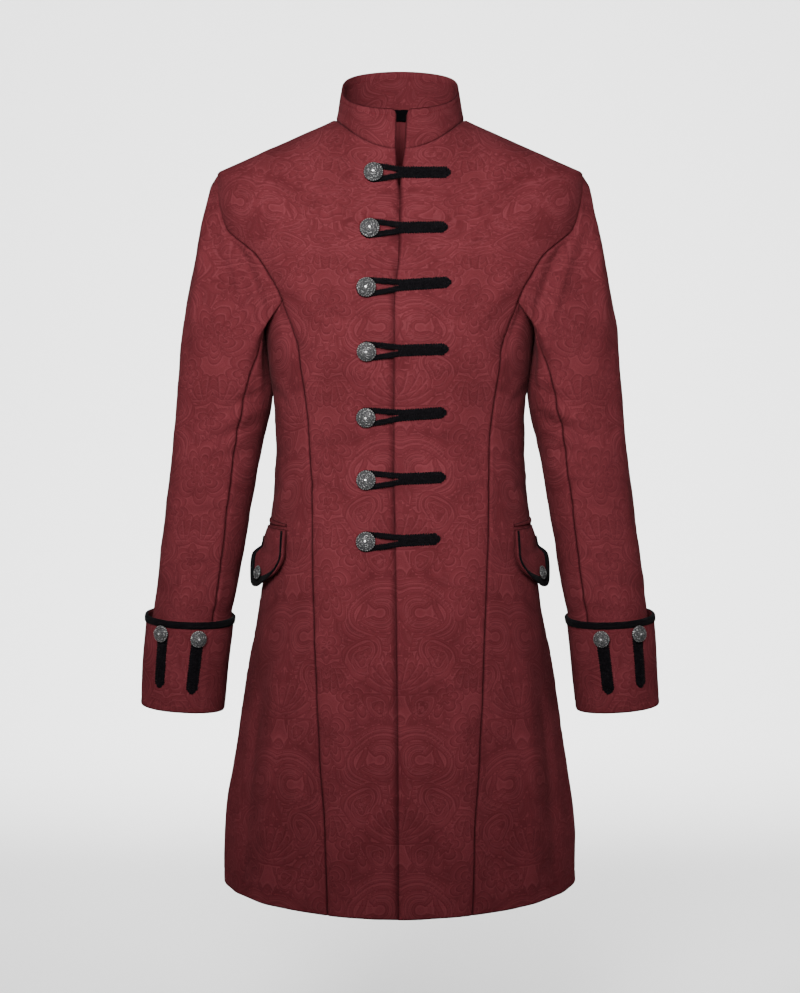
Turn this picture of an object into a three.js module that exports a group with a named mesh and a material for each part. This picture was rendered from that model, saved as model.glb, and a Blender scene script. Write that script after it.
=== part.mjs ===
// Knee-length stand-collar coat, filled out as if worn, with no wearer inside.
// Millimetres, +Z up. The fronts face -Y, the wearer's left side is at +X.
// The origin lies between the two side neck points, where the wearer carries the coat.
import * as THREE from 'three';

const { degToRad, lerp, clamp, smoothstep } = THREE.MathUtils;

// Cloth and seams
const CLOTH = 2; // wall of the damask with its lining
const COLLAR_CLOTH = 3; // wall of the stiffened collar
const SEAM_GAP = 0.4; // room between two sewn edges
const LIFT = 0.35; // room under a piece that lies on a panel
const RIGHT_ANGLE = Math.PI / 2;

// Heights on the side of the body
const HEM = -946;
const UNDERARM = -248;
const NOTCH = -226;
const SHOULDER_TIP = -65;
const NECK = 1;

// The body's rings, from the hem up. Level is the height at the side, front and back those at the centre lines.
const BODY_RINGS = [
  { level: HEM, front: HEM, back: HEM, halfWidth: 219.5, frontDepth: 193, backDepth: 185, bend: 1.82 },
  { level: -870, front: -870, back: -870, halfWidth: 213.5, frontDepth: 183, backDepth: 176, bend: 1.9 },
  { level: -800, front: -800, back: -800, halfWidth: 203, frontDepth: 172, backDepth: 166, bend: 2 },
  { level: -735, front: -735, back: -735, halfWidth: 192.5, frontDepth: 161, backDepth: 157, bend: 2.05 },
  { level: -660, front: -660, back: -660, halfWidth: 182, frontDepth: 149, backDepth: 147, bend: 2.1 },
  { level: -586, front: -586, back: -586, halfWidth: 173, frontDepth: 136, backDepth: 138, bend: 2.15 },
  { level: -510, front: -510, back: -510, halfWidth: 163.5, frontDepth: 123, backDepth: 126, bend: 2.2 },
  { level: -455, front: -455, back: -455, halfWidth: 157, frontDepth: 114, backDepth: 112, bend: 2.25 },
  { level: -408, front: -408, back: -408, halfWidth: 153.8, frontDepth: 109, backDepth: 102, bend: 2.3 },
  { level: -361, front: -361, back: -361, halfWidth: 155.6, frontDepth: 112, backDepth: 106, bend: 2.3 },
  { level: -311, front: -311, back: -311, halfWidth: 162, frontDepth: 119, backDepth: 117, bend: 2.35 },
  { level: -248, front: -249, back: -247, halfWidth: 171, frontDepth: 124, backDepth: 127, bend: 2.4 },
  { level: -200, front: -207, back: -195, halfWidth: 196, frontDepth: 122, backDepth: 127, bend: 2.45 },
  { level: -150, front: -165, back: -140, halfWidth: 219, frontDepth: 115, backDepth: 121, bend: 2.5 },
  { level: -100, front: -127, back: -83, halfWidth: 228, frontDepth: 108, backDepth: 108, bend: 2.5 },
  { level: SHOULDER_TIP, front: -100, back: -45, halfWidth: 227, frontDepth: 103, backDepth: 94, bend: 2.5 },
];
const NECK_RING = { level: NECK, front: -42, back: 23, halfWidth: 80, frontDepth: 95, backDepth: 65, bend: 2.05 };
const YOKE_SOFTENING = 30; // how far the shoulder's turn is spread over the chest and back
const SOFTENED_ABOVE = { none: -300, full: -200 };

// Seams, as distance from the centre at each level
const FRONT_PRINCESS = [
  { level: HEM, x: 85 },
  { level: -852, x: 88 },
  { level: -766, x: 96 },
  { level: -632, x: 102 },
  { level: -491, x: 107 },
  { level: -395, x: 109.5 },
  { level: -344, x: 115 },
  { level: -287, x: 124.5 },
  { level: -257, x: 133 },
  { level: NOTCH, x: 143 },
];
const BACK_PRINCESS = [
  { level: HEM, x: 112 },
  { level: -700, x: 98 },
  { level: -550, x: 88 },
  { level: -407, x: 74 },
  { level: -330, x: 87 },
  { level: -270, x: 118 },
  { level: NOTCH, x: 145 },
];
const FRONT_ARMHOLE = [
  { level: NOTCH, x: 143 },
  { level: -208, x: 151 },
  { level: -187, x: 162 },
  { level: -167, x: 175 },
  { level: -151, x: 194 },
  { level: -135, x: 213 },
  { level: -112, x: 221 },
  { level: -89, x: 225 },
  { level: SHOULDER_TIP, x: 227 },
];
const BACK_ARMHOLE = [
  { level: NOTCH, x: 145 },
  { level: -187, x: 158 },
  { level: -151, x: 178 },
  { level: -112, x: 205 },
  { level: -89, x: 219 },
  { level: SHOULDER_TIP, x: 227 },
];

// Front edges, as x at each height on the centre front: the left front laps over the right one
const LEFT_FRONT_EDGE = [
  { height: HEM, x: -2 },
  { height: -770, x: -3 },
  { height: -520, x: -6 },
  { height: -430, x: -7.7 },
  { height: -230, x: -7 },
  { height: -176, x: -2.3 },
  { height: -88, x: 0 },
  { height: -42, x: 5.5 },
];
const RIGHT_FRONT_EDGE = [
  { height: HEM, x: 14 },
  { height: -150, x: 14 },
  { height: -118, x: 9 },
  { height: -96, x: 2 },
  { height: -84, x: -2.2 },
  { height: -42, x: -5 },
];
const UNDERLAP_DEPTH = CLOTH + 1; // how far the right front lies under the left one
const UNDERLAP_START = { height: -62, x: -32 };
const UNDERLAP_FULL = { height: -85, x: -13 };

// Rows and columns of the panels
const SKIRT_ROWS = 14;
const YOKE_ROWS = 4;
const FRONT_COLUMNS = 8;
const SIDE_COLUMNS = 4;
const BACK_COLUMNS = 7;

// Collar
const COLLAR_RIM = { halfWidth: 72.4, frontDepth: 86, backDepth: 65, side: 42, front: 6, back: 70, rise: 0.75 };
const COLLAR_FRONT_EDGE = { left: 8.5, right: -4.8 };
const COLLAR_ROWS = 4;
const COLLAR_CORNER = 7; // radius of the collar's front corners

// Sleeves: the outer and inner lines seen from the front, and the half depth, at each height
const SLEEVE_LINES = [
  { height: -735, outer: 318.6, inner: 220.8, halfDepth: 45.5, middle: -20 },
  { height: -622, outer: 307.2, inner: 210.2, halfDepth: 47, middle: -14 },
  { height: -612, outer: 306, inner: 209.6, halfDepth: 47.2, middle: -13.5 },
  { height: -600, outer: 304.8, inner: 206.8, halfDepth: 47.6, middle: -12.5 },
  { height: -549, outer: 298, inner: 197.2, halfDepth: 49, middle: -10 },
  { height: -474, outer: 290.4, inner: 185.4, halfDepth: 52, middle: -6 },
  { height: -399, outer: 282.8, inner: 171.3, halfDepth: 56, middle: -3 },
  { height: -342, outer: 277.5, inner: 160.4, halfDepth: 59, middle: -2 },
  { height: -311, outer: 273, inner: 164.2, halfDepth: 60, middle: -2 },
  { height: -280, outer: 270, inner: 169, halfDepth: 61, middle: -3 },
  { height: -249, outer: 267, inner: 173.2, halfDepth: 61, middle: -4 },
  { height: -211, outer: 261, inner: 178, halfDepth: 60, middle: -6 },
  { height: -174, outer: 254, inner: 181, halfDepth: 57, middle: -7 },
  { height: -136, outer: 247, inner: 184, halfDepth: 50, middle: -6 },
  { height: -99, outer: 239, inner: 187, halfDepth: 42, middle: -3 },
  { height: -79, outer: 234.5, inner: 189, halfDepth: 36, middle: -1 },
  { height: SHOULDER_TIP, outer: 229, inner: 190, halfDepth: 30, middle: 0 },
];
const SLEEVE_BEND = 2.15;
const SLEEVE_STEPS = [0, 0.018, 0.045, 0.08, 0.125, 0.18, 0.245, 0.32, 0.4, 0.48, 0.57, 0.66, 0.76, 0.87, 1];
// How far below the armhole each part of the sleeve has settled into the tube
const SLEEVE_REACH = [
  { angle: 0, reach: 13 },
  { angle: 45, reach: 60 },
  { angle: 90, reach: 120 },
  { angle: 140, reach: 95 },
  { angle: 180, reach: 55 },
];
const FRONT_SLEEVE_SEAM = { column: 9, top: 110, wrist: 130 };
const BACK_SLEEVE_SEAM = { column: 16, top: 235, wrist: 235 };
const WRIST = { height: -726, outerRise: 4, frontDrop: 1 };

// Cuffs: the outer and inner lines seen from the front
const CUFF_LINES = [
  { share: 0, outer: 321.4, inner: 218, halfDepth: 48.6, middle: -20 },
  { share: 0.5, outer: 319, inner: 212.2, halfDepth: 52, middle: -17.5 },
  { share: 1, outer: 314.8, inner: 206.6, halfDepth: 53.5, middle: -14.5 },
];
const CUFF_BOTTOM = { height: -727, outerRise: 4, frontDrop: 1 };
const CUFF_TOP = { height: -615, outerRise: 2.6, frontDrop: 3.4 };
const CUFF_COLUMNS = 28;
const CUFF_ROWS = 3;
const BINDING = { width: 7.5, thickness: 1 };
const CUFF_TABS = [
  { top: { angle: 62, share: 0.86 }, end: { angle: 62, share: 0.26 } },
  { top: { angle: 106, share: 0.83 }, end: { angle: 104, share: 0.22 } },
];
const TAB = { halfAngle: 7, thickness: 1.8, rise: 0.05, taper: [1, 1, 1, 1, 0.95, 0.8, 0.45] };

// Pocket flaps: the top row lies on the body; x, y and height of the front edge, the middle and the rear edge
// are given for the other rows, from the top down
const FLAP_TOP = { level: -504.5, frontX: 138, endAngle: 90 };
const FLAP_ROWS = [
  { front: [140.5, -79, -519.5], middle: [161.6, -45, -518.5], rear: [169, 1, -516.5] },
  { front: [141, -83, -532.5], middle: [162.4, -48, -531.5], rear: [171.8, -3, -528.5] },
  { front: [143, -84, -541], middle: [164.6, -49, -540], rear: [184.2, -8, -539] },
  { front: [150, -80, -553], middle: [168.4, -47, -554], rear: [185.8, -12, -553] },
  { front: [165, -60, -566.5], middle: [175.6, -38, -566.5], rear: [185.4, -16, -565.5] },
  { front: [179.5, -30, -575.5], middle: [182.4, -24, -576.5], rear: [185, -19, -576.5] },
];
const FLAP_COLUMNS = 10;
const FLAP_TRIM = { width: 6, inset: 6, rearInset: 0.6, thickness: 1.2, lift: 0.6 };
const FLAP_BUTTON = { row: 5, along: 0.62, radius: 8, shank: 1, lift: 0.3 };
const WELT = { width: 8, thickness: 1.3, bottom: -501.5, frontX: 138, endAngle: 86 };

// Frogs and front buttons: the button's centre, the tab's far end and how far it climbs
const FROGS = [
  { x: -31.2, height: -72.4, end: 60.5, climb: 0 },
  { x: -36.3, height: -140.2, end: 57.3, climb: 2 },
  { x: -40, height: -211.3, end: 61, climb: 6.6 },
  { x: -39.4, height: -287.5, end: 57.4, climb: 2.8 },
  { x: -40.4, height: -366.9, end: 55.6, climb: 5.9 },
  { x: -40.4, height: -442, end: 54.6, climb: 3.6 },
  { x: -40.4, height: -514.6, end: 47.8, climb: 3.4 },
];
const FROG = {
  halfWidth: 7, thickness: 2.6, loopRadius: 12, holeRadius: 5.6, split: -3, point: 5, step: 9, turns: 7,
};
const FRONT_BUTTON = { radius: 11.6, shank: 3.6 };
const CUFF_BUTTON = { radius: 10, shank: 3.2 };
const LABEL = { halfWidth: 11, top: 22, bottom: 8, thickness: 1, room: 1.6 };

// Finishes
const damask = new THREE.MeshStandardMaterial({ color: 0x6e2a2e, roughness: 0.55, metalness: 0 });
const blackBraid = new THREE.MeshStandardMaterial({ color: 0x17151a, roughness: 0.9, metalness: 0 });
const agedMetal = new THREE.MeshStandardMaterial({ color: 0x6a6a6c, roughness: 0.35, metalness: 0.9 });

// Helpers for tables, points and grids
const point = (x, y, z) => new THREE.Vector3(x, y, z);
const mix = (from, to, share) => from.clone().lerp(to, share);
const range = (count) => Array.from({ length: count }, (_, i) => i);
const signedPower = (value, power) => Math.sign(value) * Math.abs(value) ** power;

// A smooth curve through one column of a table, which never swings past its rows
function curveThrough(rows, key, column) {
  const sorted = [...rows].sort((a, b) => a[key] - b[key]);
  const at = sorted.map((row) => row[key]);
  const value = sorted.map((row) => row[column]);
  const slope = range(at.length - 1).map((i) => (value[i + 1] - value[i]) / (at[i + 1] - at[i]));
  const tangent = at.map((_, i) => {
    const before = slope[Math.max(i - 1, 0)];
    const after = slope[Math.min(i, slope.length - 1)];
    return before * after <= 0 ? 0 : (2 * before * after) / (before + after);
  });
  return (where) => {
    const x = clamp(where, at[0], at[at.length - 1]);
    const i = clamp(at.findIndex((edge) => edge >= x) - 1, 0, slope.length - 1);
    const span = at[i + 1] - at[i];
    const t = (x - at[i]) / span;
    const hermite = [(1 + 2 * t) * (1 - t) ** 2, t * (1 - t) ** 2, t * t * (3 - 2 * t), t * t * (t - 1)];
    return hermite[0] * value[i] + hermite[2] * value[i + 1]
      + span * (hermite[1] * tangent[i] + hermite[3] * tangent[i + 1]);
  };
}

// The body's surface
const RING_COLUMNS = ['front', 'back', 'halfWidth', 'frontDepth', 'backDepth', 'bend'];
const ringCurves = RING_COLUMNS.map((column) => curveThrough(BODY_RINGS, 'level', column));
const tipRing = BODY_RINGS[BODY_RINGS.length - 1];

function ringAt(level) {
  const share = clamp((level - SHOULDER_TIP) / (NECK - SHOULDER_TIP), 0, 1);
  const ring = {};
  RING_COLUMNS.forEach((column, i) => {
    ring[column] = share > 0 ? lerp(tipRing[column], NECK_RING[column], share) : ringCurves[i](level);
  });
  return ring;
}

function ringPoint(theta, level) {
  const ring = ringAt(level);
  const [sine, cosine] = [Math.sin(theta), Math.cos(theta)];
  const ahead = cosine > 0;
  const power = 2 / ring.bend;
  const depth = ahead ? -ring.frontDepth : ring.backDepth;
  const centreHeight = ahead ? ring.front : ring.back;
  return point(
    ring.halfWidth * signedPower(sine, power),
    depth * Math.abs(cosine) ** power,
    level + (centreHeight - level) * cosine ** 2,
  );
}

// The turn from chest to shoulder is softened away from the shoulder line by averaging nearby levels
function body(theta, level) {
  const room = Math.max(0, NECK - level);
  const aside = smoothstep(Math.abs(Math.cos(theta)), 0.1, 0.6);
  const high = smoothstep(level, SOFTENED_ABOVE.none, SOFTENED_ABOVE.full);
  const spread = Math.min(YOKE_SOFTENING * aside * high, room);
  const sum = point(0, 0, 0);
  [1, 4, 6, 4, 1].forEach((weight, i) => {
    sum.addScaledVector(ringPoint(theta, level + (spread * (i - 2)) / 2), weight / 16);
  });
  return sum;
}

function bodyNormal(theta, level) {
  const [turn, rise] = [0.01, 1];
  const around = body(theta + turn, level).sub(body(theta - turn, level));
  const up = body(theta, Math.min(level + rise, NECK)).sub(body(theta, level - rise));
  return around.cross(up).normalize();
}

function thetaAt(x, level, behind = false) {
  const ring = ringAt(level);
  const sine = clamp(Math.abs(x) / ring.halfWidth, 0, 1) ** (ring.bend / 2);
  const theta = Math.asin(sine) * (Math.sign(x) || 1);
  return behind ? Math.PI - theta : theta;
}

// A closed mesh from triangles, turned so that its faces point out
function solid(points, triangles) {
  let volume = 0;
  for (const [a, b, c] of triangles) {
    volume += points[a].dot(points[b].clone().cross(points[c]));
  }
  const facing = volume > 0 ? triangles : triangles.map(([a, b, c]) => [a, c, b]);
  const geometry = new THREE.BufferGeometry();
  geometry.setAttribute('position', new THREE.Float32BufferAttribute(points.flatMap((p) => p.toArray()), 3));
  geometry.setIndex(facing.flat());
  geometry.computeVertexNormals();
  return geometry;
}

// A wall between two grids of points, closed at its four edges, or round its columns
function wall(outer, inner, round = false) {
  const [rows, columns] = [outer.length, outer[0].length];
  const points = [...outer.flat(), ...inner.flat()];
  const id = (side, i, j) => side * rows * columns + i * columns + (j % columns);
  const triangles = [];
  // Each quad is split along its shorter diagonal
  const quad = (a, b, c, d) => {
    const firstIsShorter = points[a].distanceTo(points[c]) <= points[b].distanceTo(points[d]);
    triangles.push(...(firstIsShorter ? [[a, b, c], [a, c, d]] : [[a, b, d], [b, c, d]]));
  };
  const lastColumn = round ? columns : columns - 1;
  for (let i = 0; i < rows - 1; i += 1) {
    for (let j = 0; j < lastColumn; j += 1) {
      quad(id(0, i, j), id(0, i, j + 1), id(0, i + 1, j + 1), id(0, i + 1, j));
      quad(id(1, i, j), id(1, i + 1, j), id(1, i + 1, j + 1), id(1, i, j + 1));
    }
    if (!round) {
      quad(id(0, i, 0), id(0, i + 1, 0), id(1, i + 1, 0), id(1, i, 0));
      quad(id(0, i, lastColumn), id(1, i, lastColumn), id(1, i + 1, lastColumn), id(0, i + 1, lastColumn));
    }
  }
  for (let j = 0; j < lastColumn; j += 1) {
    quad(id(0, 0, j), id(1, 0, j), id(1, 0, j + 1), id(0, 0, j + 1));
    quad(id(0, rows - 1, j), id(0, rows - 1, j + 1), id(1, rows - 1, j + 1), id(1, rows - 1, j));
  }
  return solid(points, triangles);
}

// Normals of a grid, from the points on each side of every point
function gridNormals(grid, round = false) {
  const [rows, columns] = [grid.length, grid[0].length];
  return grid.map((row, i) => row.map((_, j) => {
    const down = grid[Math.min(i + 1, rows - 1)][j].clone().sub(grid[Math.max(i - 1, 0)][j]);
    const before = round ? (j + columns - 1) % columns : Math.max(j - 1, 0);
    const after = round ? (j + 1) % columns : Math.min(j + 1, columns - 1);
    return down.cross(row[after].clone().sub(row[before])).normalize();
  }));
}

const offsetGrid = (grid, normals, distance) => grid.map((row, i) => row.map((p, j) => (
  p.clone().addScaledVector(normals[i][j], distance)
)));

// Moves the points of one edge of a grid inwards, square to that edge and in the surface
function insetEdge(grid, normals, edge, amount = SEAM_GAP / 2) {
  const [rows, columns] = [grid.length, grid[0].length];
  const alongRows = edge === 'left' || edge === 'right';
  const count = alongRows ? rows : columns;
  const fixed = { left: 0, right: columns - 1, bottom: 0, top: rows - 1 }[edge];
  const inward = { left: 1, right: -1, bottom: 1, top: -1 }[edge];
  const place = (k, step = 0) => (alongRows ? [k, fixed + step] : [fixed + step, k]);
  const read = (k, step) => {
    const [i, j] = place(k, step);
    return grid[i][j];
  };
  const moves = range(count).map((k) => {
    const [i, j] = place(k);
    const tangent = read(Math.min(k + 1, count - 1)).clone().sub(read(Math.max(k - 1, 0)));
    const across = tangent.cross(normals[i][j]).normalize();
    const side = Math.sign(across.dot(read(k, inward).clone().sub(read(k))));
    return across.multiplyScalar(side * amount);
  });
  return { place, moves };
}

// How two sewn walls meet along a seam where their surfaces make an angle
function seamFrame(tangent, normalA, towardsSeam, normalB, awayFromSeam) {
  const across = towardsSeam.clone().add(awayFromSeam).normalize();
  const through = normalA.clone().add(normalB);
  through.addScaledVector(across, -through.dot(across)).addScaledVector(tangent, -through.dot(tangent));
  const cosine = through.lengthSq() > 1e-6 ? through.normalize().dot(normalA) : 0;
  const folded = cosine < 0.62 && normalA.dot(across) > 0;
  return {
    across,
    inwardA: folded ? normalA.clone() : through.clone().multiplyScalar(1 / Math.max(cosine, 0.55)),
    inwardB: folded ? normalB.clone() : through.clone().multiplyScalar(1 / Math.max(cosine, 0.55)),
  };
}

// One body panel: a grid of places on the body, the edges that are seams, and sharper seams given point by point
function bodyPanel(places, seamEdges, frames = new Map(), sink = () => 0) {
  const surface = places.map((row) => row.map(({ theta, level }) => body(theta, level)));
  const normals = places.map((row) => row.map(({ theta, level }) => bodyNormal(theta, level)));
  const outer = surface.map((row) => row.map((p) => p.clone()));
  const inwards = normals.map((row) => row.map((n) => n.clone()));
  for (const edge of seamEdges) {
    const { place, moves } = insetEdge(surface, normals, edge);
    moves.forEach((move, k) => {
      const [i, j] = place(k);
      if (!frames.has(`${i} ${j}`)) {
        outer[i][j].add(move);
      } else if (place(0)[0] !== place(1)[0]) {
        outer[i][j].add(move.multiplyScalar(frames.get(`${i} ${j}`).corner ? 1 : 0));
      }
    });
  }
  for (const [key, frame] of frames) {
    const [i, j] = key.split(' ').map(Number);
    outer[i][j].addScaledVector(frame.across, -SEAM_GAP / 2);
    inwards[i][j] = frame.inwardA;
  }
  outer.forEach((row, i) => row.forEach((p, j) => {
    p.addScaledVector(normals[i][j], -sink(surface[i][j]));
  }));
  return wall(outer, offsetGrid(outer, inwards, -CLOTH));
}

// Levels of the panels' rows, shared by the two sides of every seam
const skirtLevels = range(SKIRT_ROWS).map((i) => lerp(HEM, NOTCH, i / SKIRT_ROWS));
const armholeLevels = FRONT_ARMHOLE.map((row) => row.level);
const yokeLevels = range(YOKE_ROWS).map((i) => lerp(SHOULDER_TIP, NECK, (i + 1) / YOKE_ROWS));
const rowLevels = [...skirtLevels, ...armholeLevels, ...yokeLevels];
const TIP_ROW = SKIRT_ROWS + armholeLevels.length - 1;
const TOP_ROW = rowLevels.length - 1;

const frontPrincess = curveThrough(FRONT_PRINCESS, 'level', 'x');
const backPrincess = curveThrough(BACK_PRINCESS, 'level', 'x');
const frontArmhole = curveThrough(FRONT_ARMHOLE, 'level', 'x');
const backArmhole = curveThrough(BACK_ARMHOLE, 'level', 'x');
const leftEdge = curveThrough(LEFT_FRONT_EDGE, 'height', 'x');
const rightEdge = curveThrough(RIGHT_FRONT_EDGE, 'height', 'x');

// Where a front or back panel ends towards the side: princess seam, armhole, then shoulder line
function outerTheta(i, behind) {
  const level = rowLevels[i];
  if (i >= TIP_ROW) {
    return RIGHT_ANGLE;
  }
  const [princess, armhole] = behind ? [backPrincess, backArmhole] : [frontPrincess, frontArmhole];
  return thetaAt(i < SKIRT_ROWS ? princess(level) : armhole(level), level, behind);
}

// Places of the left front, the right front mirrored, and the left back
function frontPlaces(edge, mirrored) {
  return rowLevels.map((level, i) => {
    const start = thetaAt(edge(ringAt(level).front) * (mirrored ? -1 : 1), level);
    return range(FRONT_COLUMNS + 1).map((j) => ({
      theta: lerp(start, outerTheta(i, false), j / FRONT_COLUMNS),
      level,
    }));
  });
}

const backPlaces = rowLevels.map((level, i) => range(BACK_COLUMNS + 1).map((j) => ({
  theta: lerp(outerTheta(i, true), Math.PI, j / BACK_COLUMNS),
  level,
})));

// Side panels end at the underarm in a scooped top edge
function sidePlaces(behind) {
  return range(SKIRT_ROWS + 1).map((i) => range(SIDE_COLUMNS + 1).map((j) => {
    const share = j / SIDE_COLUMNS;
    const top = UNDERARM + (NOTCH - UNDERARM) * (1 - share) ** 2;
    return {
      theta: lerp(outerTheta(i, behind), RIGHT_ANGLE, share),
      level: lerp(HEM, top, i / SKIRT_ROWS),
    };
  }));
}

const leftFrontPlaces = frontPlaces(leftEdge, false);
const rightFrontPlaces = frontPlaces(rightEdge, true);
const sideFrontPlaces = sidePlaces(false);
const sideBackPlaces = sidePlaces(true);

// The armhole as a loop: from the shoulder tip down the front, under the arm and up the back
const loopPlaces = [
  ...range(TIP_ROW - SKIRT_ROWS).map((k) => {
    const row = TIP_ROW - k;
    return { place: leftFrontPlaces[row][FRONT_COLUMNS], panel: 'front', key: `${row} ${FRONT_COLUMNS}` };
  }),
  ...range(SIDE_COLUMNS).map((j) => (
    { place: sideFrontPlaces[SKIRT_ROWS][j], panel: 'sideFront', key: `${SKIRT_ROWS} ${j}` })),
  ...range(SIDE_COLUMNS).map((k) => {
    const j = SIDE_COLUMNS - k;
    return { place: sideBackPlaces[SKIRT_ROWS][j], panel: 'sideBack', key: `${SKIRT_ROWS} ${j}` };
  }),
  ...range(TIP_ROW - SKIRT_ROWS).map((k) => {
    const row = SKIRT_ROWS + k;
    return { place: backPlaces[row][0], panel: 'back', key: `${row} 0` };
  }),
];
const LOOP = loopPlaces.length;
const UNDERARM_COLUMN = LOOP / 2;
const loopPoints = loopPlaces.map(({ place }) => body(place.theta, place.level));
const loopNormals = loopPlaces.map(({ place }) => bodyNormal(place.theta, place.level));

// Each armhole point's angle round the sleeve: 0 outside, 90 in front, 180 at the body
const loopAngles = (() => {
  const step = loopPoints.map((p, k) => p.distanceTo(loopPoints[(k + 1) % LOOP]));
  const walk = (from, to) => step.slice(from, to).reduce((sum, d) => sum + d, 0);
  const [ahead, behind] = [walk(0, UNDERARM_COLUMN), walk(UNDERARM_COLUMN, LOOP)];
  return loopPoints.map((_, k) => (k <= UNDERARM_COLUMN
    ? (180 * walk(0, k)) / ahead
    : 180 + (180 * walk(UNDERARM_COLUMN, k)) / behind));
})();

const sleeveCurves = Object.fromEntries(['outer', 'inner', 'halfDepth', 'middle'].map((column) => (
  [column, curveThrough(SLEEVE_LINES, 'height', column)])));
const sleeveReach = curveThrough(SLEEVE_REACH, 'angle', 'reach');

// A point on a tube round the arm, from its outer and inner lines
function tubePoint(lines, angle, height) {
  const turn = degToRad(angle);
  const power = 2 / SLEEVE_BEND;
  return point(
    (lines.outer + lines.inner) / 2 + ((lines.outer - lines.inner) / 2) * signedPower(Math.cos(turn), power),
    lines.middle - lines.halfDepth * signedPower(Math.sin(turn), power),
    height,
  );
}

// A sleeve's ring edge is tilted: higher outside, lower in front
const edgeHeight = (edge, angle) => edge.height + edge.outerRise * Math.cos(degToRad(angle))
  - edge.frontDrop * Math.sin(degToRad(angle));

// The two sleeve seams drift round the arm on their way down, and the cloth between them follows
function sleeveAngle(k, share) {
  const knots = [
    [0, 0],
    [loopAngles[FRONT_SLEEVE_SEAM.column], lerp(FRONT_SLEEVE_SEAM.top, FRONT_SLEEVE_SEAM.wrist, share)],
    [180, 180],
    [loopAngles[BACK_SLEEVE_SEAM.column], lerp(BACK_SLEEVE_SEAM.top, BACK_SLEEVE_SEAM.wrist, share)],
    [360, 360],
  ];
  const settle = smoothstep(share, 0, 0.3);
  const own = loopAngles[k];
  const i = clamp(knots.findIndex(([from]) => from > own) - 1, 0, 3);
  const [from, to] = [knots[i], knots[i + 1]];
  const led = lerp(from[1], to[1], (own - from[0]) / (to[0] - from[0]));
  return lerp(own, led, settle);
}

function sleevePoint(k, share) {
  const start = loopPoints[k];
  const angle = sleeveAngle(k, share);
  const height = lerp(start.z, edgeHeight(WRIST, angle), share);
  const lines = Object.fromEntries(Object.entries(sleeveCurves).map(([name, curve]) => [name, curve(height)]));
  const tube = tubePoint(lines, angle, height);
  const fromInside = angle > 180 ? 360 - angle : angle;
  const settled = Math.sin(RIGHT_ANGLE * clamp((start.z - height) / sleeveReach(fromInside), 0, 1));
  return point(lerp(start.x, tube.x, settled), lerp(start.y, tube.y, settled), height);
}

const sleeveGrid = SLEEVE_STEPS.map((share) => range(LOOP).map((k) => sleevePoint(k, share)));
const sleeveNormals = gridNormals(sleeveGrid, true).map((row) => row.map((n) => n.negate()));
if (sleeveNormals[8][0].x < 0) {
  sleeveNormals.flat().forEach((n) => n.negate());
}

// Where the sleeve is sewn to the body
const armholeCentre = loopPoints.reduce((sum, p) => sum.add(p), point(0, 0, 0)).divideScalar(LOOP);
const armholeFrames = loopPoints.map((p, k) => {
  const tangent = loopPoints[(k + 1) % LOOP].clone().sub(loopPoints[(k + LOOP - 1) % LOOP]).normalize();
  const towards = tangent.clone().cross(loopNormals[k]).normalize();
  towards.multiplyScalar(Math.sign(towards.dot(armholeCentre.clone().sub(p))));
  const away = sleeveGrid[1][k].clone().sub(p);
  away.addScaledVector(tangent, -away.dot(tangent)).normalize();
  return seamFrame(tangent, loopNormals[k], towards, sleeveNormals[0][k], away);
});

function framesFor(panel) {
  const frames = new Map();
  loopPlaces.forEach((entry, k) => {
    if (entry.panel === panel) {
      frames.set(entry.key, armholeFrames[k]);
    }
  });
  return frames;
}

function armholeFrameAt(k) {
  return { ...armholeFrames[k % LOOP], corner: true };
}

const frontFrames = framesFor('front');
frontFrames.set(`${SKIRT_ROWS} ${FRONT_COLUMNS}`, armholeFrameAt(TIP_ROW - SKIRT_ROWS));
frontFrames.get(`${TIP_ROW} ${FRONT_COLUMNS}`).corner = true;
const sideFrontFrames = framesFor('sideFront');
sideFrontFrames.set(`${SKIRT_ROWS} 0`, armholeFrameAt(TIP_ROW - SKIRT_ROWS));
sideFrontFrames.set(`${SKIRT_ROWS} ${SIDE_COLUMNS}`, armholeFrameAt(UNDERARM_COLUMN));
const sideBackFrames = framesFor('sideBack');
sideBackFrames.set(`${SKIRT_ROWS} 0`, armholeFrameAt(UNDERARM_COLUMN + SIDE_COLUMNS));
sideBackFrames.set(`${SKIRT_ROWS} ${SIDE_COLUMNS}`, armholeFrameAt(UNDERARM_COLUMN));
const backFrames = framesFor('back');
backFrames.set(`${SKIRT_ROWS} 0`, armholeFrameAt(UNDERARM_COLUMN + SIDE_COLUMNS));
backFrames.set(`${TIP_ROW} 0`, armholeFrameAt(0));

// The collar's rim
function rimPoint(theta) {
  const [sine, cosine] = [Math.sin(theta), Math.cos(theta)];
  const depth = cosine > 0 ? -COLLAR_RIM.frontDepth : COLLAR_RIM.backDepth;
  const centreHeight = cosine > 0 ? COLLAR_RIM.front : COLLAR_RIM.back;
  return point(
    COLLAR_RIM.halfWidth * sine,
    depth * Math.abs(cosine),
    COLLAR_RIM.side + (centreHeight - COLLAR_RIM.side) * Math.abs(cosine) ** COLLAR_RIM.rise,
  );
}

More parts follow.
